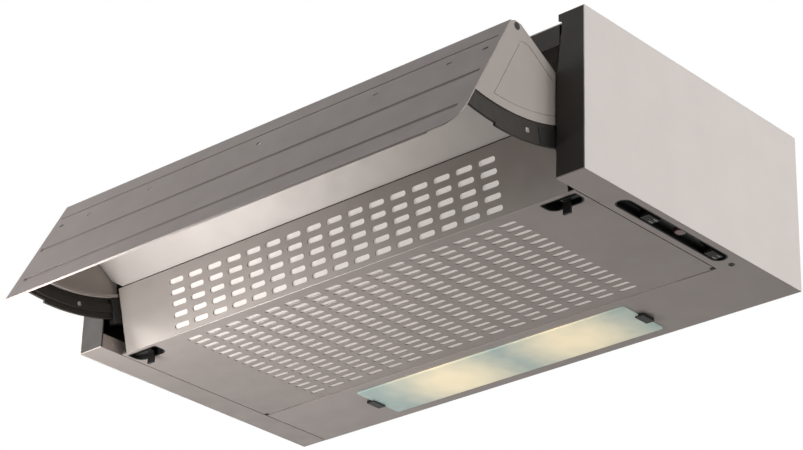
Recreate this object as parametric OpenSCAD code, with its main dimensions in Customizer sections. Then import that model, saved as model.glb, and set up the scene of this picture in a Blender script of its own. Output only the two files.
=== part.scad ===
// Pull out range hood, 600 mm class, that hangs under a kitchen cabinet.
// Frame: X across the hood, Y towards the wall, Z up. The origin is on the wall
// plane, at the middle of the underside's rear edge. Lengths are millimetres.
// Profiles are drawn from the front plane, and from_front() sets them in place.
// At rest the visor is pulled open and the grille is closed.

/* [Body] */
// Overall width across the side panels
hood_w = 598; // [590:1:640]
// Depth from the front plane to the wall
hood_d = 300; // [298:1:320]
// Height of the body without the duct collar
hood_h = 150; // [148:1:160]
// Thickness of the body sheet
sheet_t = 1; // [0.8:0.1:1.2]
// Width of the sheet returns inside the body
return_w = 12; // [8:1:16]
// Setback of the top panel's front edge
top_setback = 12; // [11:0.5:14]

/* [Front posts] */
// Width of a front post at its foot
post_w = 29.5; // [28:0.5:32]
// Wall of the front posts
post_t = 1.5; // [1.2:0.1:2]
// Depth of the post's web along the side panel
post_web_d = 58; // [50:1:64]
// Width of the hook at the top of a post
post_hook_w = 3.5; // [2:0.5:4]
// Height of the hook at the top of a post
post_hook_h = 8; // [6:0.5:10]

/* [Visor] */
// Angle by which the visor is pulled open
visor_open = 27.6; // [20:0.2:29]
// Distance of the visor's turning axis in front of the front plane
pivot_out = 65.5; // [60:0.5:70]
// Height of the visor's turning axis above the top panel
pivot_rise = 94.8; // [90:0.2:98]
// Thickness of the visor panel
visor_t = 1; // [0.8:0.1:1.2]
// Gap above the closed visor panel
visor_top_gap = 10; // [8:0.5:12]
// Gap below the closed visor panel
visor_foot_gap = 10.2; // [8:0.2:12]
// Gap at each side of the visor
visor_side_gap = 1; // [0.8:0.1:1.5]
// Depth of the visor panel's top and bottom hems
visor_hem = 7; // [5:0.5:8]
// Thickness of the moulded cheeks
cheek_t = 2.5; // [2:0.1:3]
// Lowest height of the closed cheek's arc
cheek_foot = 37.6; // [34:0.2:42]
// Radial width of the steel rails
rail_w = 19.5; // [16:0.5:22]
// Radial width of the rail's running rib
rib_w = 7.6; // [6:0.2:9]
// Height of the running rib
rib_h = 1.5; // [1.2:0.1:1.7]
// Running clearance of the rail in its shoe
rail_gap = 0.3; // [0.2:0.05:0.5]

/* [Grille] */
// Depth of the underside frame's rear panel
rear_panel_d = 82.8; // [80:0.2:88]
// Seam between the grille and the underside strips
seam = 1; // [0.8:0.1:1.5]
// Distance of the grille's fold behind the front plane
fold_y = 25; // [24:0.5:30]
// Height of the grille's slanted front
grille_front_h = 60; // [56:0.5:62]
// Lean of the grille's slanted front, from upright
grille_lean = 15; // [12:0.5:18]
// Thickness of the grille sheet
grille_t = 1; // [0.8:0.1:1.2]
// Length of a grille slot
slot_l = 18.6; // [14:0.2:20]
// Width of a grille slot
slot_w = 5.2; // [4:0.1:6]
// Pitch of the slots across the hood
slot_pitch_x = 24.8; // [23:0.1:26]
// Pitch of the slot rows on the underside
slot_pitch_y = 10.1; // [9:0.1:10.5]
// Pitch of the slot rows on the slanted front
slot_pitch_z = 10.5; // [9:0.1:10.8]
// Thickness of the grease filter mat
mat_t = 8; // [6:0.5:9]

/* [Lamp] */
// Length of the lamp glass
glass_l = 320; // [300:1:330]
// Depth of the lamp glass
glass_d = 59; // [52:0.5:60]
// Thickness of the lamp glass
glass_t = 4; // [3:0.5:5]
// Height of the lamp tray
lamp_tray_h = 38; // [36:0.5:40]
// Diameter of a tubular bulb
bulb_dia = 25; // [20:0.5:26]
// Length of a tubular bulb's glass
bulb_l = 80; // [60:1:90]

/* [Controls] */
// Length of the control recess
recess_l = 144; // [140:1:150]
// Width of the control recess
recess_w = 16; // [14:0.5:16.5]
// Depth of the control recess
recess_depth = 5.5; // [5:0.5:7]
// Length of a slider knob
knob_l = 15; // [12:0.5:16]
// Diameter of the pilot lens
pilot_dia = 10; // [8:0.5:11]

/* [Blower] */
// Height of the body above and below the blower wheel
wheel_clear = 58; // [54:1:66]
// Width of the blower wheel
wheel_w = 120; // [100:1:130]
// Number of blades
blade_count = 32; // [24:1:36]
// Wall of the blower housing
scroll_t = 1.5; // [1.2:0.1:2]
// Diameter of the motor
motor_dia = 62; // [56:1:66]
// Length of the motor
motor_l = 52; // [46:1:60]
// Diameter of the motor shaft
shaft_dia = 8; // [6:0.5:9]

/* [Outlet] */
// Outside diameter of the duct collar
collar_dia = 120; // [110:1:122]
// Height of the duct collar above the top panel
collar_h = 42; // [36:1:50]
// Wall of the duct collar
collar_t = 1.8; // [1.5:0.1:2.2]
// Distance of the duct collar from the wall
collar_y = 110; // [108:1:120]

/* [Cabinet fixing] */
// Distance of the cabinet screws from the sides
fix_side = 39; // [37:0.5:49]
// Distance of the cabinet screws from the front and the wall
fix_end = 40; // [35:1:50]
// Diameter of a cabinet screw hole
fix_dia = 5.5; // [4.5:0.1:6.5]

/* [Hidden] */
$fn = 64;
bend_fn = 32;
small_fn = 24;
overrun = 2;
fit = 0.3;

half_w = hood_w / 2;
wall_x = half_w - sheet_t;
inner_x = half_w - post_w;
top_z = hood_h - sheet_t;
back_y = hood_d - sheet_t;

// Underside
strip_return_h = 14;
lip_w = 4;
frame_y = hood_d - rear_panel_d;
grille_x = inner_x - seam;
strip_tab_y = 15;
strip_tab_r = 2;

// Front posts, as shares of the body's height
post_mid_share = 0.63;
post_neck_share = 0.9;
post_mid_lean = 1.2;
post_top_lean = 6;
crossbar_h = 19;
crossbar_gap = 2.5;

// Visor, drawn closed and then turned open about its axis
pivot_z = hood_h + pivot_rise;
visor_x = inner_x - visor_side_gap;
visor_foot = visor_foot_gap;
visor_top = hood_h - visor_top_gap;
foot_fold_h = 9;
corner_right_r = 20;
corner_left_r = 2;
cheek_r = pivot_z - cheek_foot;
cheek_x = visor_x - cheek_t;
rail_out = cheek_r + rail_w;
rib_in = cheek_r + (rail_w - rib_w) / 2;
rib_out = rib_in + rib_w;
cheek_rear_angle = visor_open + 21.3;
rail_rear_angle = visor_open + 28;
cheek_head_angle = visor_open + 25.9;
cheek_head_drop = 38;
cheek_head = 4;
cheek_head_y = 11;
cheek_slope = 1.1;
cheek_nose = 3;
cheek_rim_t = 3;
cheek_rim_w = 3;
cheek_flange_w = 14;
cheek_flange_t = 2.4;
field_front = 16;
field_edge = 7;
field_top = 9;
field_line = 1.2;
field_depth = 0.5;
plug_r = 3.4;
plug_head = 1.2;
plug_y = 8.2;
plug_drop = 5.8;
bead_shares = [[0.153, 0.192], [0.485, 0.522], [0.842, 0.861]];
bead_ends = [11, 6, 5];
bead_depth = 0.45;
fix_slot_share = 0.75;
fix_slot_x_shares = [-0.95, -0.808, -0.507, 0, 0.507, 0.808, 0.95];
fix_slot_l = 6;
fix_slot_w = 2.6;
dimple_share = 0.087;
dimple_x_shares = [-0.97, -0.485, 0, 0.485, 0.97];
dimple_r = 2.2;
rivet_angle = visor_open + 8.3;
rivet_r = 2.4;
channel_w = 3.6;
channel_depth = 1.2;
relief_d = 2.5;
relief_angle = visor_open - 2;
glide_angle = visor_open + 12;
glide_t = 0.6;
glide_edge = 4;

// Baffle plate between the cheeks, drawn in the open pose
baffle_t = 1;
baffle_side_gap = 0.6;
baffle_rear_y = 10.2;
baffle_angle = 33;
baffle_flange = 7;
baffle_chamfer_x = 8;
baffle_chamfer_y = 10;
baffle_lift = 1.6;

// Guide shoes
shoe_gap = 0.12;
shoe_span_angle = 6.3;
shoe_angle_a = asin((pivot_out + post_t + shoe_gap) / cheek_r);
shoe_angle_b = shoe_angle_a + shoe_span_angle;
shoe_lip = 5;
shoe_wall = 1.4;
shoe_side_t = 2.4;
shoe_in_x = cheek_x - rib_h - rail_gap - shoe_wall;

// Motor chamber
bulkhead_gap = 3.6;
bulkhead_r = cheek_r - bulkhead_gap;
chamber_step = 21.5;
chamber_x = grille_x - chamber_step;
bulkhead_lift = 2.4;
bulkhead_foot = grille_front_h + bulkhead_lift;
bulkhead_flange = 10;
wall_foot = 4.2;
wall_step_y = 60;
wall_front_gap = 2;

// Grille and filter
knuckle_r = 1.6;
pin_r = 0.95;
pin_gap = 0.06;
hinge_y = frame_y - knuckle_r - 0.6 * seam;
hinge_z = knuckle_r;
knuckle_l = 22;
bracket_l = 4;
bracket_h = 8;
pin_x = grille_x - bracket_l - knuckle_l;
grille_side_h = 5;
front_x = shoe_in_x - 2.5 * rail_gap;
field_side = 72;
field_rear = 28;
field_head = 15;
slot_cols = floor(2 * (grille_x - field_side) / slot_pitch_x) + 1;
slot_rows = floor((frame_y - fold_y - field_rear) / slot_pitch_y) + 1;
front_rows = floor((grille_front_h - field_head) / slot_pitch_z) + 1;
slot_first_y = fold_y + field_head;
front_first_z = 7.5;
lip_return = 15;
grille_drop = grille_front_h * tan(grille_lean);
mat_step = 21;
mat_x = chamber_x - mat_step;
mat_gap = 1;
wire_r = 1;
wire_x_shares = [-0.8, 0, 0.8];

// Latches
latch_step = 21.5;
latch_x = grille_x - latch_step;
latch_y = 40;
leaf_l = 38;
leaf_w = 18;
leaf_r = 2.5;
leaf_shift = 2;
cup_h = 9;
cup_t = 1.2;
cup_skirt = 0.6;
bolt_w = 5;
bolt_t = 3.4;
tab_l = 8;
tab_t = 2.4;
tab_shift = 2.5;
tab_drop = 8;

// Lamp
glass_rear = 42.5;
glass_y = hood_d - glass_rear;
glass_proud = 1.5;
tray_margin = 5;
tray_flange = 5;
clip_w = 17;
clip_reach = 3;
clip_t = 1.5;
holder_r = 13.5;
holder_l = 24;
bulb_z = 20;
bulb_cap_r = 7;
bulb_bevel = 4;
bulb_x = glass_l / 2 + tray_margin - holder_l;

// Controls
recess_side = 15;
recess_x = half_w - recess_side;
recess_y = 134.5;
tub_t = 1.2;
box_h = 26;
box_margin = 3;
speed_y = 104;
light_y = 192;
pilot_y = 145;
knob_w = 9;
knob_h = 6;
stem_w = 3;
speed_slot = 46;
light_slot = 26;
knob_rib = 0.8;
mark_l = 1.6;
pilot_h = 3;
strip_screw_r = 2.6;
strip_screw_y = 217.5;
lug_w = 12;
lug_t = 2.5;

// Blower, with its axis along X
wheel_dia = hood_h - wheel_clear;
axle_rear = 125;
axle_y = hood_d - axle_rear;
wheel_head = 20;
axle_z = hood_h - wheel_head - wheel_dia / 2;
scroll_gap = 5;
scroll_grow = 8;
scroll_w = wheel_w + 2 * scroll_gap;
scroll_points = 40;
tongue_angle = 110;
inlet_step = 7;
inlet_r = wheel_dia / 2 - inlet_step;
inlet_lip = 3;
wheel_r = wheel_dia / 2;
ring_w = 7;
ring_t = 1.5;
blade_t = 0.8;
blade_chord = 11;
blade_pitch_angle = 32;
hub_r = 11;
hub_l = 16;
disc_t = 2;
outlet_run = 150;
outlet_front = hood_d - outlet_run;
outlet_step = 4;
outlet_rear = hood_d - collar_y + collar_dia / 2 - collar_t - outlet_step;
motor_gap = 8;
motor_x = scroll_w / 2 + motor_gap;
motor_fins = 5;
fin_w = 3;
fin_r = 2.4;
arm_count = 3;
arm_w = 10;
arm_t = 3;
shaft_run = 0.05;
foot_w = 16;
foot_t = 2;

// Duct collar and its flaps
collar_r = collar_dia / 2;
collar_flange_w = 10;
collar_flange_t = 1.6;
flap_t = 1.2;
flap_z = 12;
flap_gap = 1.2;
flap_pin_r = 1.5;
flap_knuckle_r = 2.8;
flap_knuckle_l = 14;
stop_w = 4;

// Electrical parts
gland_side = 84;
gland_x = half_w - gland_side;
gland_rear = 38;
gland_y = hood_d - gland_rear;
gland_r = 9;
gland_h = 14;
term_l = 70;
term_w = 40;
term_h = 34;
cap_r = 15;
cap_l = 58;
switch_side = 109;
switch_x = half_w - switch_side;
switch_l = 20;
switch_d = 10;
switch_h = 15;
plunger_r = 2;
plunger_z = visor_top - visor_t / 2;

// Screws
screw_r = 3.4;
screw_head = 1.8;
screw_shank = 1.6;
screw_l = 6;
side_screw_shares = [0.27, 0.55, 0.85];

// Places a profile that is measured from the front plane
module from_front() translate([0, -hood_d, 0]) children();

// Draws the right side as it stands and the left side mirrored
module on_side(side) mirror([side < 0 ? 1 : 0, 0, 0]) children();

// A block between two corners
module block(low, high) translate(low) cube(high - low);

// A profile of Y and Z, extruded along X
module along_x(x_low, x_high) translate([x_low, 0, 0]) rotate([90, 0, 90]) linear_extrude(x_high - x_low)
  children();

// A profile of X and Z, extruded along Y
module along_y(y_low, y_high) translate([0, y_high, 0]) rotate([90, 0, 0]) linear_extrude(y_high - y_low)
  children();

// A round bar along X
module bar_x(x_low, x_high, y, z, r) translate([x_low, y, z]) rotate([0, 90, 0])
  cylinder(h = x_high - x_low, r = r);

// A slot with round ends along the first axis
module slot(l, w) {
  square([l - w, w], center = true);
  for (end = [-1, 1]) translate([end * (l - w) / 2, 0]) circle(d = w, $fn = small_fn);
}

// A plate outline with round corners, made of exact arcs
module round_rect(w, d, r) {
  square([w - 2 * r, d], center = true);
  square([w, d - 2 * r], center = true);
  for (sx = [-1, 1], sy = [-1, 1]) translate([sx * (w / 2 - r), sy * (d / 2 - r)])
    circle(r = r, $fn = small_fn);
}

// A pan head screw that points down from its seat
module pan_screw(r = screw_r, head = screw_head, l = screw_l) {
  difference() {
    cylinder(h = head, r = r, $fn = small_fn);
    for (turn = [0, 90]) rotate([0, 0, turn]) translate([-r / 2, -r / 10, head / 2])
      cube([r, r / 5, head]);
  }
  translate([0, 0, -l]) cylinder(h = l, r = screw_shank, $fn = small_fn);
}

// Body shell

// Places of the screws that hold the top panel to a side panel
module side_screw_places() {
  for (share = side_screw_shares) translate([wall_x - return_w / 2, share * hood_d, top_z - sheet_t])
    children();
}

module side_panel() from_front() {
  block([wall_x, 0, 0], [half_w, hood_d, hood_h]);
  difference() {
    block([wall_x - return_w, post_web_d, top_z - sheet_t], [wall_x, back_y, top_z]);
    side_screw_places() translate([0, 0, -overrun])
      cylinder(h = sheet_t + 2 * overrun, r = screw_shank + fit, $fn = small_fn);
  }
  block([wall_x - return_w, back_y - sheet_t, 2 * sheet_t], [wall_x, back_y, top_z]);
  block([wall_x - lip_w, post_web_d, sheet_t], [wall_x, back_y, 2 * sheet_t]);
}

module right_side_panel() color("#ccc8c4") on_side(1) side_panel();
module left_side_panel() color("#ccc8c4") on_side(-1) side_panel();

// Hole centres of the cabinet screws, from the wall
module fix_places() {
  fix_mid_y = -hood_d / 2;
  for (sx = [-1, 1], sy = [-1, 1])
    translate([sx * (half_w - fix_side), fix_mid_y + sy * (hood_d / 2 - fix_end)]) children();
}

module top_panel() color("#b5b1ae") translate([0, 0, top_z]) linear_extrude(sheet_t) difference() {
  translate([-wall_x, top_setback - hood_d]) square([2 * wall_x, back_y - top_setback]);
  intersection() {
    translate([0, -collar_y]) circle(r = collar_r - collar_t, $fn = 96);
    translate([-scroll_w / 2, outlet_front - hood_d]) square([scroll_w, outlet_rear - outlet_front]);
  }
  fix_places() circle(d = fix_dia, $fn = small_fn);
  translate([gland_x, gland_y - hood_d]) circle(r = gland_r - 2 * screw_shank, $fn = small_fn);
  for (sx = [-1, 1], sy = [-1, 1])
    translate([sx * collar_r, sy * collar_r - collar_y]) circle(r = screw_shank + fit, $fn = small_fn);
  for (sx = [-1, 1], share = side_screw_shares)
    translate([sx * (wall_x - return_w / 2), share * hood_d - hood_d])
      circle(r = screw_shank + fit, $fn = small_fn);
}

module back_panel() color("#b5b1ae") from_front() {
  block([-wall_x, back_y, sheet_t], [wall_x, hood_d, hood_h]);
}

// Front flange of a post: it narrows upwards and ends in a small hook
module post_outline() polygon([
  [inner_x, sheet_t],
  [inner_x + post_mid_lean, post_mid_share * hood_h],
  [inner_x + post_top_lean, post_neck_share * hood_h],
  [inner_x + post_top_lean, hood_h - post_hook_h],
  [inner_x + post_top_lean - post_hook_w, hood_h - post_hook_h + post_hook_w / 2],
  [inner_x + post_top_lean - post_hook_w, hood_h],
  [wall_x, hood_h],
  [wall_x, sheet_t]
]);

module front_post() from_front() {
  along_y(0, post_t) post_outline();
  block([wall_x - post_t, 0, sheet_t], [wall_x, post_web_d, top_z]);
}

module right_front_post() color("#45423f") on_side(1) front_post();
module left_front_post() color("#45423f") on_side(-1) front_post();

module front_crossbar() color("#4a4743") from_front() difference() {
  union() {
    block([crossbar_gap - cheek_x, top_setback, top_z - crossbar_h],
          [cheek_x - crossbar_gap, top_setback + sheet_t, top_z]);
    block([crossbar_gap - cheek_x, top_setback, top_z - sheet_t],
          [cheek_x - crossbar_gap, top_setback + return_w, top_z]);
  }
  translate([switch_x, top_setback - overrun, plunger_z])
    rotate([-90, 0, 0]) cylinder(h = sheet_t + 2 * overrun, r = plunger_r + fit, $fn = small_fn);
}

// Underside

module bottom_strip() {
  block([inner_x, 0, 0], [wall_x, hood_d, sheet_t]);
  block([inner_x, post_t, 0], [inner_x + sheet_t, frame_y, strip_return_h]);
}

module strip_tab() bar_x(inner_x - sheet_t / 2, inner_x + sheet_t, strip_tab_y, strip_return_h * 0.6,
      strip_tab_r);

module left_bottom_strip() color("#a9a4a0") on_side(-1) from_front() {
  bottom_strip();
  strip_tab();
}

// Outline of the control recess, with its centre on the strip
module recess_outline(grow) translate([recess_x, recess_y]) rotate([0, 0, 90])
  slot(recess_l + 2 * grow, recess_w + 2 * grow);

module glass_outline(grow) translate([0, glass_y])
  round_rect(glass_l + 2 * grow, glass_d + 2 * grow, glass_t / 2 + grow);

module underside_frame() color("#a9a4a0") from_front() difference() {
  union() {
    bottom_strip();
    strip_tab();
    block([seam - inner_x, frame_y, 0], [wall_x, hood_d, sheet_t]);
    block([seam - inner_x, frame_y, 0], [inner_x + sheet_t, frame_y + sheet_t, strip_return_h]);
  }
  translate([0, 0, -overrun]) linear_extrude(sheet_t + 2 * overrun) {
    recess_outline(fit / 2);
    glass_outline(fit);
    translate([recess_x, strip_screw_y]) circle(r = screw_shank + fit, $fn = small_fn);
  }
}

// Ring about the visor's turning axis
module pivot_ring(r_in, r_out) translate([-pivot_out, pivot_z]) difference() {
  circle(r = r_out, $fn = 180);
  circle(r = r_in, $fn = 180);
}

// Sheet that closes the motor chamber behind the swing of the visor
module front_bulkhead() color("#4c4947") from_front() {
  bulkhead_head_y = sqrt(pow(bulkhead_r + sheet_t / 2, 2) - pow(pivot_z - top_z, 2)) - pivot_out;
  along_x(-chamber_x, chamber_x) intersection() {
    pivot_ring(bulkhead_r, bulkhead_r + sheet_t);
    translate([0, bulkhead_foot]) square([hood_d / 2, top_z - bulkhead_foot]);
  }
  block([-chamber_x, bulkhead_head_y, top_z - sheet_t],
        [chamber_x, bulkhead_head_y + bulkhead_flange, top_z]);
}

// Side sheet of the motor chamber, cut to the bulkhead's curve
module inner_wall() from_front() along_x(chamber_x, chamber_x + sheet_t) difference() {
  polygon([
    [fold_y + lip_return, cup_h + cup_t],
    [wall_step_y, cup_h + cup_t],
    [wall_step_y, wall_foot],
    [frame_y - 2 * knuckle_r, wall_foot],
    [frame_y - 2 * knuckle_r, strip_return_h + sheet_t],
    [frame_y + sheet_t, strip_return_h + sheet_t],
    [frame_y + sheet_t, sheet_t],
    [back_y, sheet_t],
    [back_y, top_z],
    [0, top_z],
    [fold_y - grille_drop + lip_return + wall_front_gap, bulkhead_foot]
  ]);
  translate([-pivot_out, pivot_z]) circle(r = bulkhead_r, $fn = 180);
}

module right_inner_wall() color("#4c4947") on_side(1) inner_wall();
module left_inner_wall() color("#4c4947") on_side(-1) inner_wall();

// Hinge ears of the grille, fixed to the rear frame's return
module grille_hinge_brackets() color("#77736f") from_front() for (side = [-1, 1]) on_side(side)
  difference() {
  union() {
    block([grille_x - bracket_l + fit, hinge_y, sheet_t + fit], [grille_x, frame_y, bracket_h]);
    bar_x(grille_x - bracket_l + fit, grille_x, hinge_y, hinge_z, knuckle_r);
  }
  bar_x(grille_x - bracket_l - overrun, grille_x + overrun, hinge_y, hinge_z, pin_r);
}

module grille_hinge_pins() color("#c9c6c2") from_front() for (side = [-1, 1]) on_side(side) {
  bar_x(pin_x, grille_x, hinge_y, hinge_z, pin_r);
}

// Visor, drawn closed

module closed_visor() from_front()
  translate([0, -pivot_out, pivot_z]) rotate([-visor_open, 0, 0]) translate([0, pivot_out, -pivot_z])
    children();

function visor_z(share) = visor_foot + share * (visor_top - visor_foot);

// The square left outside a round corner, in the first quadrant
module corner_waste(r) difference() {
  square(r + overrun);
  circle(r = r);
}

// Panel outline of X and Z: the lower right corner is well rounded
module panel_outline(height) difference() {
  translate([-visor_x, visor_foot]) square([2 * visor_x, height]);
  translate([visor_x - corner_right_r, visor_foot + corner_right_r]) mirror([0, 1])
    corner_waste(corner_right_r);
  translate([corner_left_r - visor_x, visor_foot + corner_left_r]) rotate(180)
    corner_waste(corner_left_r);
}

module visor_panel() color("#a39e9a") closed_visor() difference() {
  union() {
    along_y(0, visor_t) panel_outline(visor_top - visor_foot);
    block([cheek_flange_w - cheek_x, 0, visor_top - visor_t],
          [cheek_x - cheek_flange_w, visor_hem, visor_top]);
    block([corner_right_r - visor_x, 0, visor_foot],
          [visor_x - corner_right_r - cheek_flange_w, 2 * visor_t, visor_foot + foot_fold_h]);
  }
  for (i = [0 : len(bead_ends) - 1])
    block([bead_ends[i] - visor_x, -overrun, visor_z(bead_shares[i][0])],
          [visor_x - bead_ends[i], bead_depth, visor_z(bead_shares[i][1])]);
  for (share = fix_slot_x_shares)
    translate([share * visor_x, 0, visor_z(fix_slot_share)]) along_y(-overrun, visor_t + overrun)
      slot(fix_slot_l, fix_slot_w);
  for (share = dimple_x_shares)
    translate([share * visor_x, -overrun, visor_z(dimple_share)])
      rotate([-90, 0, 0]) cylinder(h = overrun + bead_depth, r = dimple_r, $fn = small_fn);
}

// Direction from the turning axis, at an angle from straight down towards the wall
function on_pivot(r, angle) = [r * sin(angle) - pivot_out, pivot_z - r * cos(angle)];

// Cheek outline, closed: front, top and rear edges are drawn in by their insets
module cheek_outline(front, top, rear, arc) intersection() {
  translate([-pivot_out, pivot_z]) circle(r = cheek_r - arc, $fn = 180);
  polygon([
    [visor_t + front, 0],
    [visor_t + front, visor_top - top],
    [visor_t + front + cheek_nose, visor_top + cheek_head - top],
    [cheek_head_y + front, visor_top + 2 * cheek_head - cheek_slope - top],
    on_pivot(cheek_r - cheek_head_drop, cheek_head_angle) - [rear, top],
    on_pivot(cheek_r + overrun, cheek_rear_angle) - [rear, 0]
  ]);
}

module cheek() closed_visor() difference() {
  union() {
    along_x(cheek_x, visor_x) cheek_outline(0, 0, 0, 0);
    along_x(cheek_x - cheek_rim_w, cheek_x) difference() {
      cheek_outline(cheek_flange_t, field_top, 0, 0);
      translate([-pivot_out, pivot_z]) circle(r = cheek_r - cheek_rim_t, $fn = 180);
    }
    along_x(cheek_x - cheek_flange_w, visor_x) intersection() {
      cheek_outline(0, cheek_head, 0, 0);
      square([visor_t + cheek_flange_t, visor_top]);
    }
  }
  along_x(visor_x - field_depth, visor_x + overrun) difference() {
    cheek_outline(field_front, field_top, field_edge, field_edge);
    cheek_outline(field_front + field_line, field_top + field_line, field_edge + field_line,
          field_edge + field_line);
  }
}

module right_cheek() color("#b0acaa") on_side(1) cheek();
module left_cheek() color("#b0acaa") on_side(-1) cheek();

// Rail outline, closed: a ring between the panel's inner face and a radial end
module rail_outline(r_in, r_out) intersection() {
  pivot_ring(r_in, r_out);
  polygon([
    [visor_t + fit, pivot_z],
    [visor_t + fit, 0],
    on_pivot(r_out / cos(visor_open), rail_rear_angle / 2),
    on_pivot(r_out / cos(visor_open), rail_rear_angle),
    on_pivot(r_in / 2, rail_rear_angle)
  ]);
}

module rail() closed_visor() difference() {
  union() {
    along_x(cheek_x, visor_x - channel_depth) rail_outline(cheek_r, rail_out);
    along_x(cheek_x, visor_x) rail_outline(cheek_r + channel_w, rail_out);
    along_x(cheek_x - rib_h, cheek_x) rail_outline(rib_in, rib_out);
  }
  along_x(cheek_x - overrun, visor_x + overrun)
    sector(rail_out - relief_d, rail_out + overrun, 0, relief_angle);
  along_x(cheek_x - rib_h - overrun, visor_x + overrun)
    translate(on_pivot((rib_in + rib_out) / 2, rivet_angle))
      circle(r = rivet_r + pin_gap, $fn = small_fn);
}

module right_rail() color("#3b3835") on_side(1) rail();
module left_rail() color("#3b3835") on_side(-1) rail();

module rail_rivets() color("#8d8883") closed_visor() for (side = [-1, 1]) on_side(side) {
  place = on_pivot((rib_in + rib_out) / 2, rivet_angle);
  bar_x(cheek_x - rib_h, visor_x, place[0], place[1], rivet_r);
}

// Plastic glides on the outer faces of the rails, near their rear ends
module rail_glides() color("#1c1a19") closed_visor() for (side = [-1, 1]) on_side(side)
  along_x(visor_x, visor_x + glide_t)
    sector(cheek_r + glide_edge, rail_out, glide_angle, rail_rear_angle);

module cheek_plugs() color("#141414") closed_visor() for (side = [-1, 1]) on_side(side) {
  bar_x(visor_x, visor_x + plug_head / 4, plug_y, visor_top + cheek_head - plug_drop / 2, plug_r);
}

// A point of the open visor, carried to where it lies when closed
function closed_point(y, z) = let (dy = y + pivot_out, dz = z - pivot_z)
  [dy * cos(visor_open) - dz * sin(visor_open) - pivot_out,
        dy * sin(visor_open) + dz * cos(visor_open) + pivot_z];

// Baffle plate between the cheeks, drawn closed. It is set out from the open
// pose, where it rises from the grille's top edge to the panel's inner face.
module baffle_plate() color("#cdc6c2") closed_visor() difference() {
  baffle_x = cheek_x - baffle_side_gap;
  tongue_x = cheek_x - cheek_flange_w - fit;
  rear = closed_point(baffle_rear_y, grille_front_h + baffle_lift);
  slope = baffle_angle - visor_open;
  head_y = rear[0] + baffle_t * sin(slope) - visor_t;
  head_z = rear[1] + baffle_t * cos(slope) + head_y * tan(slope);
  along_x(-baffle_x, baffle_x) polygon([
    rear,
    rear + baffle_t * [sin(slope), cos(slope)],
    [visor_t, head_z],
    [visor_t, head_z - baffle_flange],
    [visor_t + baffle_t, head_z - baffle_flange],
    [visor_t + baffle_t, rear[1] + (rear[0] - visor_t - baffle_t) * tan(slope)]
  ]);
  for (side = [-1, 1]) on_side(side) {
    block([tongue_x, 0, rear[1]], [baffle_x + overrun, visor_t + cheek_flange_t + fit, head_z + overrun]);
    translate([baffle_x, rear[0] + baffle_t, rear[1] - overrun])
      linear_extrude(overrun + head_z - rear[1]) polygon([
      [-baffle_chamfer_x, 0],
      [-baffle_chamfer_x, overrun],
      [overrun, overrun],
      [overrun, -baffle_chamfer_y],
      [0, -baffle_chamfer_y]
    ]);
  }
}

// Part of a ring about the turning axis, between two angles
module sector(r_in, r_out, angle_a, angle_b) intersection() {
  pivot_ring(r_in, r_out);
  polygon([on_pivot(r_in / 2, angle_a), on_pivot(r_out * 1.1, angle_a), on_pivot(r_out * 1.1, angle_b),
        on_pivot(r_in / 2, angle_b)]);
}

// Shoe in which the rail's rib runs, in the fixed body's frame
module guide_shoe() from_front() {
  shoe_out = rail_out + rail_gap + shoe_lip;
  difference() {
    union() {
      along_x(shoe_in_x, cheek_x - rail_gap)
        sector(cheek_r + 2 * rail_gap, shoe_out, shoe_angle_a, shoe_angle_b);
      along_x(shoe_in_x, wall_x - post_t)
        sector(rail_out + rail_gap, shoe_out, shoe_angle_a, shoe_angle_b);
      along_x(visor_x + glide_t + rail_gap, visor_x + glide_t + rail_gap + shoe_side_t)
        sector(cheek_r + 2 * rail_gap, shoe_out, shoe_angle_a, shoe_angle_b);
    }
    along_x(cheek_x - rib_h - rail_gap, cheek_x + overrun)
      pivot_ring(rib_in - rail_gap, rib_out + rail_gap);
  }
}

module right_guide_shoe() color("#1d1b1a") on_side(1) guide_shoe();
module left_guide_shoe() color("#1d1b1a") on_side(-1) guide_shoe();

// Grille

// Centres a field of slots on X, with its first row at the origin
module slot_field(rows, pitch) {
  for (row = [0 : rows - 1], col = [0 : slot_cols - 1])
    translate([(col - (slot_cols - 1) / 2) * slot_pitch_x, row * pitch]) slot(slot_l, slot_w);
}

// Outline of a latch: straight along the fold, round at the rear
module latch_leaf(grow) translate([0, -leaf_shift]) hull() for (sx = [-1, 1]) {
  translate([sx * (leaf_l / 2 - leaf_r), leaf_r - leaf_w / 2]) circle(r = leaf_r + grow, $fn = small_fn);
  translate([sx * (leaf_l - leaf_w) / 2, 0]) circle(r = leaf_w / 2 + grow);
}

module grille_panel() color("#aaa5a1") from_front() {
  difference() {
    union() {
      difference() {
        linear_extrude(grille_t) translate([-grille_x, fold_y]) square([2 * grille_x, hinge_y - fold_y]);
        translate([0, slot_first_y, -overrun]) linear_extrude(grille_t + 2 * overrun)
          slot_field(slot_rows, slot_pitch_y);
      }
      for (side = [-1, 1]) on_side(side) {
        block([grille_x - grille_t, fold_y + overrun, 0],
              [grille_x, hinge_y - 2 * knuckle_r, grille_side_h]);
        bar_x(pin_x, pin_x + knuckle_l, hinge_y, hinge_z, knuckle_r);
      }
    }
    for (side = [-1, 1]) on_side(side) {
      translate([latch_x, latch_y, -overrun]) linear_extrude(grille_t + 2 * overrun) latch_leaf(0);
      bar_x(pin_x - overrun, grille_x + overrun, hinge_y, hinge_z, pin_r + pin_gap);
      block([pin_x + knuckle_l, hinge_y - 2 * knuckle_r, -overrun],
            [grille_x + overrun, hinge_y + overrun, grille_side_h]);
      block([grille_x - 2 * grille_t, latch_y - bolt_w, grille_t],
            [grille_x + overrun, latch_y + bolt_w, grille_side_h + overrun]);
    }
  }
}

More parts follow.
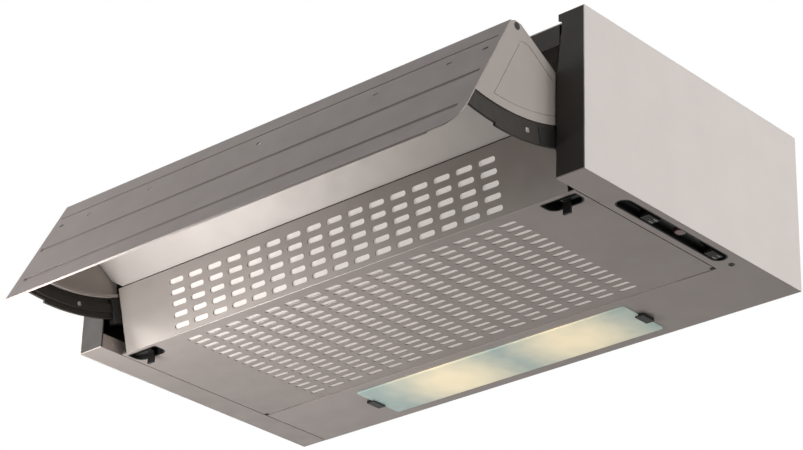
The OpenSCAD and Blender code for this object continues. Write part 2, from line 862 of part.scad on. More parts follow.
module grille_front() color("#b9b4b0") from_front() difference() {
  lean = tan(grille_lean);
  wall = grille_t / cos(grille_lean);
  lip_z = grille_front_h - grille_t;
  along_x(-front_x, front_x) polygon([
    [fold_y, 0],
    [fold_y - grille_drop, grille_front_h],
    [fold_y - grille_drop + lip_return, grille_front_h],
    [fold_y - grille_drop + lip_return, lip_z],
    [fold_y - lip_z * lean + wall, lip_z],
    [fold_y - grille_t * lean + wall, grille_t],
    [fold_y, grille_t]
  ]);
  translate([0, fold_y, 0]) rotate([90 + grille_lean, 0, 0]) mirror([0, 0, 1])
    translate([0, front_first_z, -overrun]) linear_extrude(grille_t + 2 * overrun)
      slot_field(front_rows, slot_pitch_z);
}

// Mat profile: a layer along the underside and one behind the slanted front
module filter_mat() color("#e6e2dc") from_front() along_x(-mat_x, mat_x) {
  mat_z = grille_t + mat_gap;
  mat_y = fold_y + mat_gap + grille_t;
  mat_top = grille_front_h - 4 * mat_gap;
  lean = tan(grille_lean);
  polygon([
    [mat_y, mat_z],
    [hinge_y - 3 * knuckle_r, mat_z],
    [hinge_y - 3 * knuckle_r, mat_z + mat_t],
    [mat_y + mat_t - mat_t * lean, mat_z + mat_t],
    [mat_y + mat_t - (mat_top - mat_z) * lean, mat_top],
    [mat_y - (mat_top - mat_z) * lean, mat_top]
  ]);
}

// Spring wires that hold the mat down, bent over its rear edge to the sheet
module filter_wires() color("#c9c6c2") from_front() for (share = wire_x_shares) {
  wire_z = grille_t + mat_gap + mat_t + wire_r;
  wire_x = share * mat_x;
  rear_y = hinge_y - 2 * knuckle_r + wire_r;
  front_y = fold_y + mat_t + 6 * mat_gap;
  translate([wire_x, rear_y, wire_z]) rotate([90, 0, 0])
    cylinder(h = rear_y - front_y, r = wire_r, $fn = small_fn);
  translate([wire_x, rear_y, grille_t]) cylinder(h = wire_z - grille_t, r = wire_r, $fn = small_fn);
  translate([wire_x, rear_y, wire_z]) sphere(r = wire_r, $fn = small_fn);
}

// Cups in the grille sheet that carry the latches
module latch_housings() color("#161514") from_front() for (side = [-1, 1]) on_side(side) difference() {
  translate([latch_x, latch_y, 0]) difference() {
    union() {
      linear_extrude(cup_h) latch_leaf(-fit / 2);
      translate([0, 0, grille_t]) linear_extrude(cup_t) latch_leaf(cup_t);
    }
    translate([0, 0, -overrun]) linear_extrude(cup_h - cup_t + overrun) latch_leaf(-fit / 2 - cup_t);
  }
  block([latch_x, latch_y - bolt_w / 2 - fit, cup_h - 2 * cup_t - bolt_t - fit],
        [grille_x + overrun, latch_y + bolt_w / 2 + fit, cup_h - cup_t - fit]);
}

// Latch slide with its finger tab: it draws its bolt towards the middle
module latch() from_front() {
  bolt_z = cup_h - 2 * cup_t - bolt_t;
  tip_x = inner_x - fit;
  block([latch_x - tab_l / 2, latch_y - bolt_w / 2, bolt_z],
        [tip_x, latch_y + bolt_w / 2, bolt_z + bolt_t]);
  block([latch_x - tab_l / 2, latch_y + tab_shift - tab_t / 2, -tab_drop],
        [latch_x + tab_l / 2, latch_y + tab_shift + tab_t / 2, bolt_z]);
}

module right_latch() color("#111010") on_side(1) latch();
module left_latch() color("#111010") on_side(-1) latch();

// Lamp

module lamp_tray() color("#cfccc8") from_front() difference() {
  tray_x = glass_l / 2 + tray_margin;
  tray_y = glass_d / 2 + tray_margin;
  translate([0, glass_y, 0]) union() {
    translate([-tray_x - sheet_t, -tray_y - sheet_t, sheet_t])
      cube([2 * (tray_x + sheet_t), 2 * (tray_y + sheet_t), lamp_tray_h - sheet_t]);
    translate([-tray_x - tray_flange, -tray_y - sheet_t, sheet_t])
      cube([2 * (tray_x + tray_flange), 2 * (tray_y + sheet_t), sheet_t]);
  }
  translate([-tray_x, glass_y - tray_y, -overrun])
    cube([2 * tray_x, 2 * tray_y, lamp_tray_h - sheet_t + overrun]);
}

module lamp_glass() color("#d5dccb") from_front()
  translate([0, 0, -glass_proud]) linear_extrude(glass_t) glass_outline(0);

module glass_clips() color("#161514") from_front() for (side = [-1, 1]) on_side(side) {
  edge_x = glass_l / 2;
  block([edge_x + 2 * fit, glass_y - clip_w / 2, -glass_proud - clip_t],
        [edge_x + 2 * clip_reach, glass_y + clip_w / 2, 0]);
  block([edge_x - clip_reach, glass_y - clip_w / 2, -glass_proud - clip_t],
        [edge_x + 2 * fit, glass_y + clip_w / 2, -glass_proud]);
}

module lamp_holders() color("#e4e0d8") from_front() for (side = [-1, 1]) on_side(side) difference() {
  bar_x(bulb_x, bulb_x + holder_l, glass_y, bulb_z, holder_r);
  bar_x(bulb_x - overrun, bulb_x + holder_l * 0.8, glass_y, bulb_z, bulb_cap_r + fit / 2);
}

// Tubular bulbs with a screw cap and a dome end
module lamp_bulbs() color("#f4e6b8") from_front() for (side = [-1, 1]) on_side(side) {
  bulb_r = bulb_dia / 2;
  translate([bulb_x, glass_y, bulb_z]) rotate([0, -90, 0]) rotate_extrude() difference() {
    union() {
      translate([0, -holder_l * 0.7]) square([bulb_cap_r, holder_l * 0.7 + 2 * fit]);
      translate([0, 2 * fit]) square([bulb_r, bulb_l - bulb_r]);
      translate([0, bulb_l - bulb_r + 2 * fit]) circle(r = bulb_r);
    }
    translate([-2 * bulb_r, -2 * bulb_l]) square([2 * bulb_r, 4 * bulb_l]);
    translate([bulb_r - bulb_bevel, 2 * fit]) rotate([0, 0, -45])
      square([2 * bulb_r, bulb_bevel * sqrt(2)]);
  }
}

// Controls

module control_tray() color("#171615") from_front() difference() {
  union() {
    linear_extrude(recess_depth + tub_t) recess_outline(0);
    translate([0, 0, sheet_t]) linear_extrude(tub_t) recess_outline(1.2 * tub_t);
  }
  translate([0, 0, -overrun]) linear_extrude(recess_depth + overrun) recess_outline(-tub_t);
  translate([recess_x, 0, 0]) linear_extrude(recess_depth + 2 * overrun) {
    translate([0, speed_y - knob_l / 2]) rotate([0, 0, 90]) slot(speed_slot, stem_w + 2 * fit);
    translate([0, light_y - knob_l / 3]) rotate([0, 0, 90]) slot(light_slot, stem_w + 2 * fit);
  }
}

// Switch box on the tray's floor, with a lug for the strip's screw
module control_box() color("#2a2826") from_front() difference() {
  box_x = recess_w / 2 + box_margin;
  box_low = recess_depth + tub_t;
  lug_y = recess_y + recess_l / 2 - 2 * fit;
  union() {
    block([recess_x - box_x, recess_y - recess_l / 2 + 2 * fit, box_low],
          [recess_x + recess_w / 2 + fit, lug_y, box_low + box_h]);
    block([recess_x - lug_w / 2, lug_y - lug_t, box_low],
          [recess_x + lug_w / 2, strip_screw_y, box_low + lug_t]);
    translate([recess_x, strip_screw_y, sheet_t])
      cylinder(h = box_low + lug_t - sheet_t, r = lug_w / 3, $fn = small_fn);
  }
  block([recess_x - stem_w, recess_y - recess_l / 2 + 2 * box_margin, box_low - overrun],
        [recess_x + stem_w, recess_y + recess_l / 2 - 2 * box_margin, box_low + box_h / 2]);
  translate([recess_x, strip_screw_y, -overrun])
    cylinder(h = screw_l + 2 * overrun, r = screw_shank + pin_gap, $fn = small_fn);
}

module pilot_lens() color("#a02020") from_front() translate([recess_x, pilot_y, recess_depth - pilot_h]) {
  cylinder(h = pilot_h, d = pilot_dia);
}

// Slider knob with grip ribs and a pale position mark
module slider(y) from_front() translate([recess_x, y, 0]) difference() {
  union() {
    translate([-knob_w / 2, -knob_l / 2, recess_depth - fit - knob_h]) cube([knob_w, knob_l, knob_h]);
    translate([-stem_w / 2, -knob_l / 4, recess_depth - fit]) cube([stem_w, knob_l / 2, recess_depth]);
  }
  for (step = [0 : 3])
    translate([-knob_w, -knob_l / 2 + knob_rib * (2 + 3 * step),
          recess_depth - fit - knob_h - knob_rib / 2])
      cube([2 * knob_w, knob_rib, knob_rib]);
}

module light_slider() color("#1c1b1a") slider(light_y);
module speed_slider() color("#1c1b1a") slider(speed_y);

// Blower

// Radius of the volute, which grows with the angle round the axle
function volute_r(angle, grow) = wheel_r + scroll_gap + grow + scroll_grow * angle / 360;
function volute(grow) = [for (i = [0 : scroll_points])
  let (angle = i * 360 / scroll_points)
  [axle_y + volute_r(angle, grow) * cos(angle + tongue_angle),
        axle_z + volute_r(angle, grow) * sin(angle + tongue_angle)]];

module scroll_outline(grow, head) {
  polygon(volute(grow));
  translate([outlet_front - grow, axle_z]) square([outlet_rear - outlet_front + 2 * grow, head - axle_z]);
}

module blower_housing() color("#3a3a3c") from_front() {
  difference() {
    along_x(-scroll_w / 2 - scroll_t, scroll_w / 2 + scroll_t) scroll_outline(scroll_t, top_z);
    along_x(-scroll_w / 2, scroll_w / 2) scroll_outline(0, top_z + overrun);
    bar_x(-scroll_w, scroll_w, axle_y, axle_z, inlet_r);
  }
  for (side = [-1, 1]) on_side(side) translate([scroll_w / 2 + scroll_t, axle_y, axle_z])
    rotate([0, 90, 0])
    rotate_extrude() translate([inlet_r, 0]) square([scroll_t, inlet_lip]);
}

module blade() rotate([0, 0, blade_pitch_angle]) translate([-blade_chord / 2, -blade_t / 2])
  square([blade_chord, blade_t]);

module blower_wheel() color("#6a6d70") from_front() translate([0, axle_y, axle_z]) rotate([0, 90, 0]) {
  difference() {
    union() {
      translate([0, 0, -wheel_w / 2]) linear_extrude(wheel_w)
        for (i = [0 : blade_count - 1]) rotate([0, 0, i * 360 / blade_count])
          translate([wheel_r - ring_w + ring_t, 0]) blade();
      for (end = [-wheel_w / 2, wheel_w / 2 - ring_t]) translate([0, 0, end]) linear_extrude(ring_t)
        difference() {
        circle(r = wheel_r);
        circle(r = wheel_r - ring_w - ring_t);
      }
      translate([0, 0, -disc_t / 2]) cylinder(h = disc_t, r = wheel_r);
      translate([0, 0, -hub_l / 2]) cylinder(h = hub_l, r = hub_r);
    }
    translate([0, 0, -hub_l]) cylinder(h = 2 * hub_l, d = shaft_dia);
  }
}

module motor_shaft() color("#c4c2be") from_front()
  bar_x(-hub_l / 2, motor_x + motor_l * 0.8, axle_y, axle_z, shaft_dia / 2);

module motor() color("#56595c") from_front() difference() {
  union() {
    bar_x(motor_x, motor_x + motor_l, axle_y, axle_z, motor_dia / 2 - fin_r);
    for (i = [0 : motor_fins - 1]) {
      fin_x = motor_x + (i + 0.5) * (motor_l - fin_w) / motor_fins;
      bar_x(fin_x, fin_x + fin_w, axle_y, axle_z, motor_dia / 2);
    }
  }
  bar_x(motor_x - overrun, motor_x + motor_l * 0.8 + fit, axle_y, axle_z, shaft_dia / 2 + shaft_run);
}

// Three arms from the motor's face to the housing's inlet ring
module motor_bracket() color("#77797b") from_front() translate([0, axle_y, axle_z]) rotate([0, 90, 0]) {
  ring_out = inlet_r + scroll_t + arm_w;
  plate_x = scroll_w / 2 + scroll_t + inlet_lip;
  difference() {
    union() {
      translate([0, 0, motor_x - arm_t]) cylinder(h = arm_t, r = motor_dia / 2 - 2 * fin_r);
      for (i = [0 : arm_count - 1]) rotate([0, 0, 60 + i * 360 / arm_count])
        translate([0, -arm_w / 2, motor_x - arm_t]) cube([ring_out, arm_w, arm_t]);
      for (i = [0 : arm_count - 1]) rotate([0, 0, 60 + i * 360 / arm_count])
        translate([ring_out - arm_t, -arm_w / 2, scroll_w / 2 + scroll_t])
          cube([arm_t, arm_w, motor_x - scroll_w / 2 - scroll_t]);
    }
    translate([0, 0, plate_x - overrun]) cylinder(h = motor_l, d = shaft_dia + 4 * fit);
  }
}

// Duct collar

module outlet_collar() color("#2b2a29") translate([0, -collar_y, hood_h]) {
  difference() {
    union() {
      cylinder(h = collar_h, r = collar_r, $fn = 96);
      linear_extrude(collar_flange_t) round_rect(collar_dia + 2 * collar_flange_w,
            collar_dia + 2 * collar_flange_w, collar_flange_w);
    }
    for (sx = [-1, 1], sy = [-1, 1]) translate([sx * collar_r, sy * collar_r, -overrun])
      cylinder(h = collar_flange_t + 2 * overrun, r = screw_shank + fit, $fn = small_fn);
    translate([0, 0, -overrun]) cylinder(h = collar_h + 2 * overrun, r = collar_r - collar_t, $fn = 96);
    bar_x(-collar_r - overrun, collar_r + overrun, 0, flap_z, flap_pin_r);
  }
  // Stops on which the closed flaps rest
  for (turn = [0, 180]) rotate([0, 0, turn]) translate([-stop_w, collar_r - collar_t - stop_w, 0])
    cube([2 * stop_w, stop_w + collar_t / 2, flap_z - flap_t / 2]);
}

module flap_pin() color("#c9c6c2") translate([0, -collar_y, hood_h + flap_z])
  bar_x(-collar_r + collar_t / 3, collar_r - collar_t / 3, 0, 0, flap_pin_r);

// One flap: a half disc with two knuckles on the pin, and a gap for its fellow's
module flap(side) translate([0, -collar_y, hood_h + flap_z]) difference() {
  union() {
    translate([0, 0, -flap_t / 2]) linear_extrude(flap_t) intersection() {
      circle(r = collar_r - collar_t - flap_gap, $fn = 96);
      translate([-collar_r, side > 0 ? flap_knuckle_r + fit : -collar_r - flap_knuckle_r - fit])
        square([collar_dia, collar_r]);
    }
    for (place = side > 0 ? [-1.5, 0.5] : [-0.5, 1.5])
      translate([place * 1.6 * flap_knuckle_l - flap_knuckle_l / 2, 0, 0]) {
        bar_x(0, flap_knuckle_l, 0, 0, flap_knuckle_r);
        translate([0, side > 0 ? 0 : -flap_knuckle_r - 2 * fit, -flap_t / 2])
          cube([flap_knuckle_l, flap_knuckle_r + 2 * fit, flap_t]);
      }
  }
  bar_x(-collar_r, collar_r, 0, 0, flap_pin_r + pin_gap);
}

module front_flap() color("#3c3b3a") flap(-1);
module rear_flap() color("#3c3b3a") flap(1);

// Electrical parts

module cable_gland() color("#202020") translate([gland_x, gland_y - hood_d, hood_h]) difference() {
  union() {
    cylinder(h = gland_h * 0.35, r = gland_r, $fn = 6);
    cylinder(h = gland_h * 0.8, r = gland_r * 0.8, $fn = small_fn);
    translate([0, 0, gland_h * 0.8]) cylinder(h = gland_h * 0.2, r = gland_r * 0.62, $fn = small_fn);
    translate([0, 0, -gland_h * 0.5])
      cylinder(h = gland_h * 0.5, r = gland_r - 2.4 * screw_shank, $fn = small_fn);
  }
  translate([0, 0, -gland_h]) cylinder(h = 3 * gland_h, r = gland_r * 0.38, $fn = small_fn);
}

module terminal_box() color("#dedad2") from_front() difference() {
  translate([gland_x - term_w / 2, back_y - sheet_t - term_l, top_z - term_h])
    cube([term_w, term_l, term_h]);
  translate([gland_x, gland_y, top_z - gland_h * 0.8]) cylinder(h = gland_h, r = gland_r, $fn = small_fn);
}

module capacitor() color("#d8d8d6") from_front() {
  cap_y = back_y - sheet_t - cap_r;
  bar_x(gland_x - term_w / 2 - cap_l, gland_x - term_w / 2, cap_y, top_z - cap_r - foot_t, cap_r);
  block([gland_x - term_w / 2 - cap_l / 2 - foot_w / 2, cap_y - cap_r * 0.7, top_z - foot_t - cap_r / 4],
        [gland_x - term_w / 2 - cap_l / 2 + foot_w / 2, cap_y + cap_r * 0.7, top_z]);
}

module microswitch() color("#1b1b1b") from_front() difference() {
  block([switch_x - switch_l / 2, top_setback + sheet_t, plunger_z - switch_h / 2],
        [switch_x + switch_l / 2, top_setback + sheet_t + switch_d, top_z - sheet_t]);
  translate([switch_x, top_setback - overrun, plunger_z])
    rotate([-90, 0, 0]) cylinder(h = sheet_t + overrun + switch_d / 2, r = plunger_r + pin_gap,
          $fn = small_fn);
}

module switch_plunger() color("#b03030") from_front() translate([switch_x, visor_hem + fit, plunger_z])
  rotate([-90, 0, 0]) cylinder(h = top_setback - visor_hem + switch_d / 3, r = plunger_r, $fn = small_fn);

// Screws

module top_screws() color("#8a8783") from_front() for (side = [-1, 1]) on_side(side)
  side_screw_places() translate([0, 0, 2 * sheet_t]) pan_screw();

module collar_screws() color("#8a8783") for (sx = [-1, 1], sy = [-1, 1])
  translate([sx * collar_r, sy * collar_r - collar_y, hood_h + collar_flange_t]) pan_screw();

module strip_screws() color("#1a1918") from_front() translate([recess_x, strip_screw_y, 0])
  rotate([180, 0, 0]) pan_screw(r = strip_screw_r, head = screw_head / 3);

right_side_panel();
left_side_panel();
top_panel();
back_panel();
right_front_post();
left_front_post();
front_crossbar();
underside_frame();
left_bottom_strip();
front_bulkhead();
right_inner_wall();
left_inner_wall();
grille_hinge_brackets();
grille_hinge_pins();
lamp_tray();
lamp_glass();
glass_clips();
lamp_holders();
lamp_bulbs();
control_tray();
control_box();
pilot_lens();
light_slider();
speed_slider();
right_guide_shoe();
left_guide_shoe();
blower_housing();
motor();
motor_bracket();
blower_wheel();
motor_shaft();
outlet_collar();
flap_pin();
front_flap();
rear_flap();
cable_gland();
terminal_box();
capacitor();
microswitch();
switch_plunger();
visor_panel();
right_cheek();
left_cheek();
right_rail();
left_rail();
baffle_plate();
cheek_plugs();
rail_rivets();
rail_glides();
grille_panel();
grille_front();
filter_mat();
filter_wires();
latch_housings();
right_latch();
left_latch();
top_screws();
collar_screws();
strip_screws();
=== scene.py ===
"""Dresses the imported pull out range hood: finer shapes, finishes, studio and camera.

Lengths in the classes are millimetres, and Y is measured from the front plane. front() turns them
into the frame's metres. Every piece's object stays at the origin, with its place in its mesh.
"""

import logging
import math
from dataclasses import dataclass, field, replace
from enum import Enum
from typing import Iterable, Sequence

import bmesh
import bpy
from bmesh.types import BMesh, BMVert
from bpy.types import Material, Node, NodeSocket, NodeTree, Object
from mathutils import Matrix, Vector


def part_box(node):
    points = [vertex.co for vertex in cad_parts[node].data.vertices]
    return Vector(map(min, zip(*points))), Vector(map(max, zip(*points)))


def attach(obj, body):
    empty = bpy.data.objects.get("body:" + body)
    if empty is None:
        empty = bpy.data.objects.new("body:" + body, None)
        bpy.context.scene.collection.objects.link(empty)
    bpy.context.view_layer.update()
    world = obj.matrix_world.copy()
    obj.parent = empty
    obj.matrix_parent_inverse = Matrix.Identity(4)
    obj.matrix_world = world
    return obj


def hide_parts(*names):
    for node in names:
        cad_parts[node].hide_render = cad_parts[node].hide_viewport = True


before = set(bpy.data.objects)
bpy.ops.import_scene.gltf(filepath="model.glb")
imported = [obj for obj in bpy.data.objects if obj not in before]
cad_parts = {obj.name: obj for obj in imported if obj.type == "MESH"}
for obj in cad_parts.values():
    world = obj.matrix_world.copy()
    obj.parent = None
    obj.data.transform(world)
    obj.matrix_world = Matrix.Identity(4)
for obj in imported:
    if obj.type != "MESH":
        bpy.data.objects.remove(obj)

MM = 0.001
DEPTH = 300.0
LOG = logging.getLogger("hood")
Point = tuple[float, float, float]
Span = tuple[float, float]
WHITE_LIGHT = "#fffdfb"
# the middle of a noise's values, for a soft and for a firmer contrast
WIDE: Span = (0.3, 0.7)
NARROW: Span = (0.35, 0.65)
# weight of each finer octave of a noise
OCTAVES = 0.55
# points of CAD nodes and of the visor's sheet that lie closer, in metres, are one
WELD = 2e-6
SHEET_WELD = 1e-5
# shorter edges than this many metres are dropped, and faces that turn by fewer degrees are one
SLIVER = 1e-6
FLAT_ANGLE = 0.4


class Body(Enum):
    """The rigid bodies that the pieces ride on."""

    HOOD = "hood_body"
    VISOR = "visor"
    GRILLE = "grille"
    RIGHT_LATCH = "right_latch"
    LEFT_LATCH = "left_latch"
    ROTOR = "rotor"
    FRONT_FLAP = "front_flap"
    REAR_FLAP = "rear_flap"
    PLUNGER = "switch_plunger"
    LIGHT = "light_slider"
    SPEED = "speed_slider"


def front(x: float, y: float, z: float) -> Vector:
    """Turns millimetres, with Y from the front plane, into the frame's metres."""
    return Vector((x * MM, (y - DEPTH) * MM, z * MM))


def linear(code: str) -> tuple[float, float, float, float]:
    """Turns an sRGB hex colour into linear values.

    Args:
        code: Six hex digits, with or without a leading hash.

    Returns:
        Red, green, blue and an alpha of one.
    """
    parts = [int(code.lstrip("#")[i:i + 2], 16) / 255 for i in (0, 2, 4)]
    red, green, blue = (p / 12.92 if p <= 0.04045 else ((p + 0.055) / 1.055) ** 2.4 for p in parts)
    return red, green, blue, 1.0


def fill(tree: NodeTree, node: Node, inputs: dict) -> None:
    """Sets or links inputs of a node.

    Args:
        tree: Tree of the node.
        node: The node.
        inputs: Values or source sockets, by the name or index of the input.
    """
    for key, value in inputs.items():
        if isinstance(value, NodeSocket):
            tree.links.new(value, node.inputs[key])
        else:
            node.inputs[key].default_value = value


def add(tree: NodeTree, kind: str, inputs: dict | None = None, **settings: object) -> Node:
    """Adds a node with its settings, values and links.

    Args:
        tree: Tree that gets the node.
        kind: Blender's name of the node type.
        inputs: Values or source sockets, by the name or index of the input.
        **settings: Properties of the node.

    Returns:
        The new node.
    """
    made = tree.nodes.new(kind)
    for name, value in settings.items():
        setattr(made, name, value)
    fill(tree, made, inputs or {})
    return made


# Finishes: one class for each kind of surface. Sizes of patterns are millimetres.


class Surface:
    """A material's tree and shader, with the pattern tools that the finishes share."""

    def __init__(self, finish: "Finish") -> None:
        """Starts the material.

        Args:
            finish: Gives its plain values.
        """
        self.roughness = finish.roughness
        self.material = bpy.data.materials.new(finish.name)
        self.material.use_nodes = True
        self.tree = self.material.node_tree
        self.shader = self.tree.nodes["Principled BSDF"]
        self.set({"Base Color": linear(finish.tint), "Roughness": finish.roughness,
                  "Metallic": finish.metallic, "Coat Weight": finish.coat,
                  "Specular IOR Level": finish.specular})

    def set(self, inputs: dict) -> None:
        """Sets or links inputs of the shader, by name."""
        fill(self.tree, self.shader, inputs)

    def place(self, scale: Point = (1, 1, 1)) -> NodeSocket:
        """Gives object coordinates in metres, stretched along the axes by the scale."""
        source = add(self.tree, "ShaderNodeTexCoord").outputs["Object"]
        return add(self.tree, "ShaderNodeMapping", {"Vector": source, "Scale": scale}).outputs["Vector"]

    def noise(self, size: float, detail: float, scale: Point = (1, 1, 1)) -> NodeSocket:
        """Adds a noise with spots of a real size, so many finer octaves and a stretch along the axes."""
        spots = {"Vector": self.place(scale), "Scale": 1 / (size * MM), "Detail": detail}
        return add(self.tree, "ShaderNodeTexNoise", {**spots, "Roughness": OCTAVES}).outputs["Fac"]

    def between(self, value: NodeSocket, source: Span, target: Span = (0.0, 1.0),
                **settings: object) -> NodeSocket:
        """Maps a value from one range to another and holds it there, with settings for the node."""
        ends = {"From Min": source[0], "From Max": source[1], "To Min": target[0], "To Max": target[1]}
        return add(self.tree, "ShaderNodeMapRange", {"Value": value, **ends}, **settings).outputs["Result"]

    def blend(self, factor: NodeSocket, low: str, high: str) -> NodeSocket:
        """Mixes two hex colours by a factor, which is zero for the first one."""
        mix = {0: factor, 6: linear(low), 7: linear(high)}
        return add(self.tree, "ShaderNodeMix", mix, data_type="RGBA").outputs[2]

    def paint(self, factor: NodeSocket, low: str, high: str) -> None:
        """Gives the shader a blend of two colours."""
        self.set({"Base Color": self.blend(factor, low, high)})

    def vary_gloss(self, spots: NodeSocket, less: float, more: float) -> None:
        """Varies the roughness over spots, down by less and up by more."""
        span = (self.roughness - less, self.roughness + more)
        self.set({"Roughness": self.between(spots, WIDE, span)})

    def glow(self, tint: str, strength: float) -> None:
        """Gives the shader a light of its own."""
        self.set({"Emission Color": linear(tint), "Emission Strength": strength})

    def bump(self, height: NodeSocket, depth: float, strength: float) -> None:
        """Presses a pattern into the surface, to a depth and by the share that shows."""
        relief = {"Height": height, "Distance": depth * MM, "Strength": strength}
        self.set({"Normal": add(self.tree, "ShaderNodeBump", relief).outputs["Normal"]})


@dataclass(frozen=True)
class Finish:
    """A plain surface, which the finishes below build on."""

    name: str
    slot: str
    tint: str
    roughness: float = 0.5
    metallic: float = 0.0
    coat: float = 0.0
    specular: float = 0.5
    made: dict = field(default_factory=dict, compare=False, repr=False)

    def material(self) -> Material:
        """Builds the material once.

        Returns:
            The material, the same one on every call.
        """
        if "it" not in self.made:
            surface = Surface(self)
            self.pattern(surface)
            self.made["it"] = surface.material
        return self.made["it"]

    def pattern(self, surface: Surface) -> None:
        """Adds colour, roughness and bump patterns. A plain surface has none.

        Args:
            surface: Tools of the material.
        """


@dataclass(frozen=True)
class SatinCoat(Finish):
    """Sprayed and baked silver grey paint on steel: fine orange peel, soft gloss, faint cloudiness."""

    cloud: str = "#c9c2bd"
    cloud_size: float = 60.0
    gloss_size: float = 18.0
    peel: float = 2.4
    depth: float = 0.012

    def pattern(self, surface: Surface) -> None:
        """Clouds the tint a little, and adds the spray's orange peel.

        Args:
            surface: Tools of the material.
        """
        tone = surface.between(surface.noise(self.cloud_size, 3), NARROW)
        surface.paint(tone, self.cloud, self.tint)
        surface.vary_gloss(surface.noise(self.gloss_size, 4), less=0.04, more=0.06)
        # the real peel is about 0.5 mm wide: drawn coarser, so that it shows
        surface.bump(surface.noise(self.peel, 2), self.depth, strength=0.6)


@dataclass(frozen=True)
class DrawnSteel(Finish):
    """Cold drawn steel strip: a dark oiled metal with lines along the drawing direction."""

    line: Point = (0.05, 1, 1)
    pale: str = "#6a6560"
    streak_size: float = 1.2
    gloss_size: float = 9.0
    depth: float = 0.01

    def pattern(self, surface: Surface) -> None:
        """Streaks the colour and the gloss along the strip.

        Args:
            surface: Tools of the material.
        """
        streak = surface.noise(self.streak_size, 4, self.line)
        surface.paint(surface.between(streak, WIDE), self.tint, self.pale)
        surface.vary_gloss(surface.noise(self.gloss_size, 3), less=0.08, more=0.1)
        surface.bump(streak, self.depth, strength=0.5)


@dataclass(frozen=True)
class MouldedPlastic(Finish):
    """Injection moulded ABS or nylon: spark eroded grain, with slightly polished high spots."""

    grain: float = 1.1
    depth: float = 0.03
    rub: str = ""
    rub_size: float = 35.0
    rub_from: Span = (0.35, 0.7)
    rub_share: Span = (0.0, 0.5)

    def pattern(self, surface: Surface) -> None:
        """Adds the mould's grain, and a paler tone where hands rub it.

        Args:
            surface: Tools of the material.
        """
        # spark eroded grain is about 0.1 mm wide: drawn coarser, so that it shows
        grain = surface.noise(self.grain, 3)
        tone = surface.between(surface.noise(self.rub_size, 3), self.rub_from, self.rub_share)
        surface.paint(tone, self.tint, self.rub)
        surface.vary_gloss(grain, less=0.05, more=0.08)
        surface.bump(grain, self.depth, strength=0.5)


@dataclass(frozen=True)
class PlatedSteel(Finish):
    """Zinc plated or nickel plated steel: bright, with faint crystals and wiping marks."""

    dull: str = "#8c8a86"
    crystals_per_metre: float = 420.0
    patch: Span = (0.0, 0.7)
    gloss_size: float = 4.0
    wipe_size: float = 1.5
    wipe: Point = (1, 6, 1)
    depth: float = 0.008

    def pattern(self, surface: Surface) -> None:
        """Adds the plating's patches and a fine wiped bump.

        Args:
            surface: Tools of the material.
        """
        crystals = {"Vector": surface.place(), "Scale": self.crystals_per_metre}
        cells = add(surface.tree, "ShaderNodeTexVoronoi", crystals).outputs["Distance"]
        surface.paint(surface.between(cells, self.patch), self.tint, self.dull)
        surface.vary_gloss(surface.noise(self.gloss_size, 3), less=0.06, more=0.1)
        surface.bump(surface.noise(self.wipe_size, 3, self.wipe), self.depth, strength=0.5)


@dataclass(frozen=True)
class CastAlloy(Finish):
    """Die cast aluminium and pressed galvanised parts of the blower: pale, grainy and a little oxidised."""

    stain: str = "#84868a"
    cloud_size: float = 14.0
    skin: float = 0.9
    depth: float = 0.05

    def pattern(self, surface: Surface) -> None:
        """Adds oxide clouds and a sandy skin.

        Args:
            surface: Tools of the material.
        """
        surface.paint(surface.between(surface.noise(self.cloud_size, 5), NARROW), self.tint, self.stain)
        surface.bump(surface.noise(self.skin, 3), self.depth, strength=0.6)


@dataclass(frozen=True)
class FrostedGlass(Finish):
    """Pressed lamp glass with a frosted, pebbled inner face, warm by the bulbs and green at its ends."""

    warm: str = "#f5e5c0"
    bulbs: tuple[Point, ...] = ((84, 257, 8), (-62, 262, 8))
    reach: Span = (8 * MM, 96 * MM)
    blotch_size: float = 22.0
    blotch: float = 0.07
    light: Span = (0.34, 0.62)
    pebble: float = 5.5
    depth: float = 0.45

    def pattern(self, surface: Surface) -> None:
        """Paints the glow of the two bulbs on the pane, and the pebbles of its face.

        Args:
            surface: Tools of the material.
        """
        tree = surface.tree
        place = add(tree, "ShaderNodeTexCoord").outputs["Object"]
        glows = [self.near(surface, place, bulb) for bulb in self.bulbs]
        glow = add(tree, "ShaderNodeMath", {0: glows[0], 1: glows[1]}, operation="MAXIMUM").outputs[0]
        blotch = surface.between(surface.noise(self.blotch_size, 2), NARROW, (-self.blotch, self.blotch))
        level = add(tree, "ShaderNodeMath", {0: glow, 1: blotch}, operation="ADD", use_clamp=True).outputs[0]
        tint = surface.blend(level, self.tint, self.warm)
        light = surface.between(level, (0.0, 1.0), self.light)
        surface.set({"Base Color": tint, "Emission Color": tint, "Emission Strength": light})
        surface.bump(surface.noise(self.pebble, 3), self.depth, strength=0.8)

    def near(self, surface: Surface, place: NodeSocket, bulb: Point) -> NodeSocket:
        """Gives one beside a bulb, which falls softly to zero at the glow's reach."""
        away = add(surface.tree, "ShaderNodeVectorMath", {0: place, 1: front(*bulb)}, operation="DISTANCE")
        return surface.between(away.outputs["Value"], self.reach, (1.0, 0.0), interpolation_type="SMOOTHSTEP")


@dataclass(frozen=True)
class BulbGlass(Finish):
    """Inside frosted bulb glass: milky, warm and faintly lit from within."""

    milk: str = "#fffaf0"
    light: str = "#fff0cc"
    cloud_size: float = 12.0

    def pattern(self, surface: Surface) -> None:
        """Lets the glass glow a little, with slight clouds.

        Args:
            surface: Tools of the material.
        """
        surface.paint(surface.between(surface.noise(self.cloud_size, 2), WIDE), self.tint, self.milk)
        surface.glow(self.light, strength=0.35)


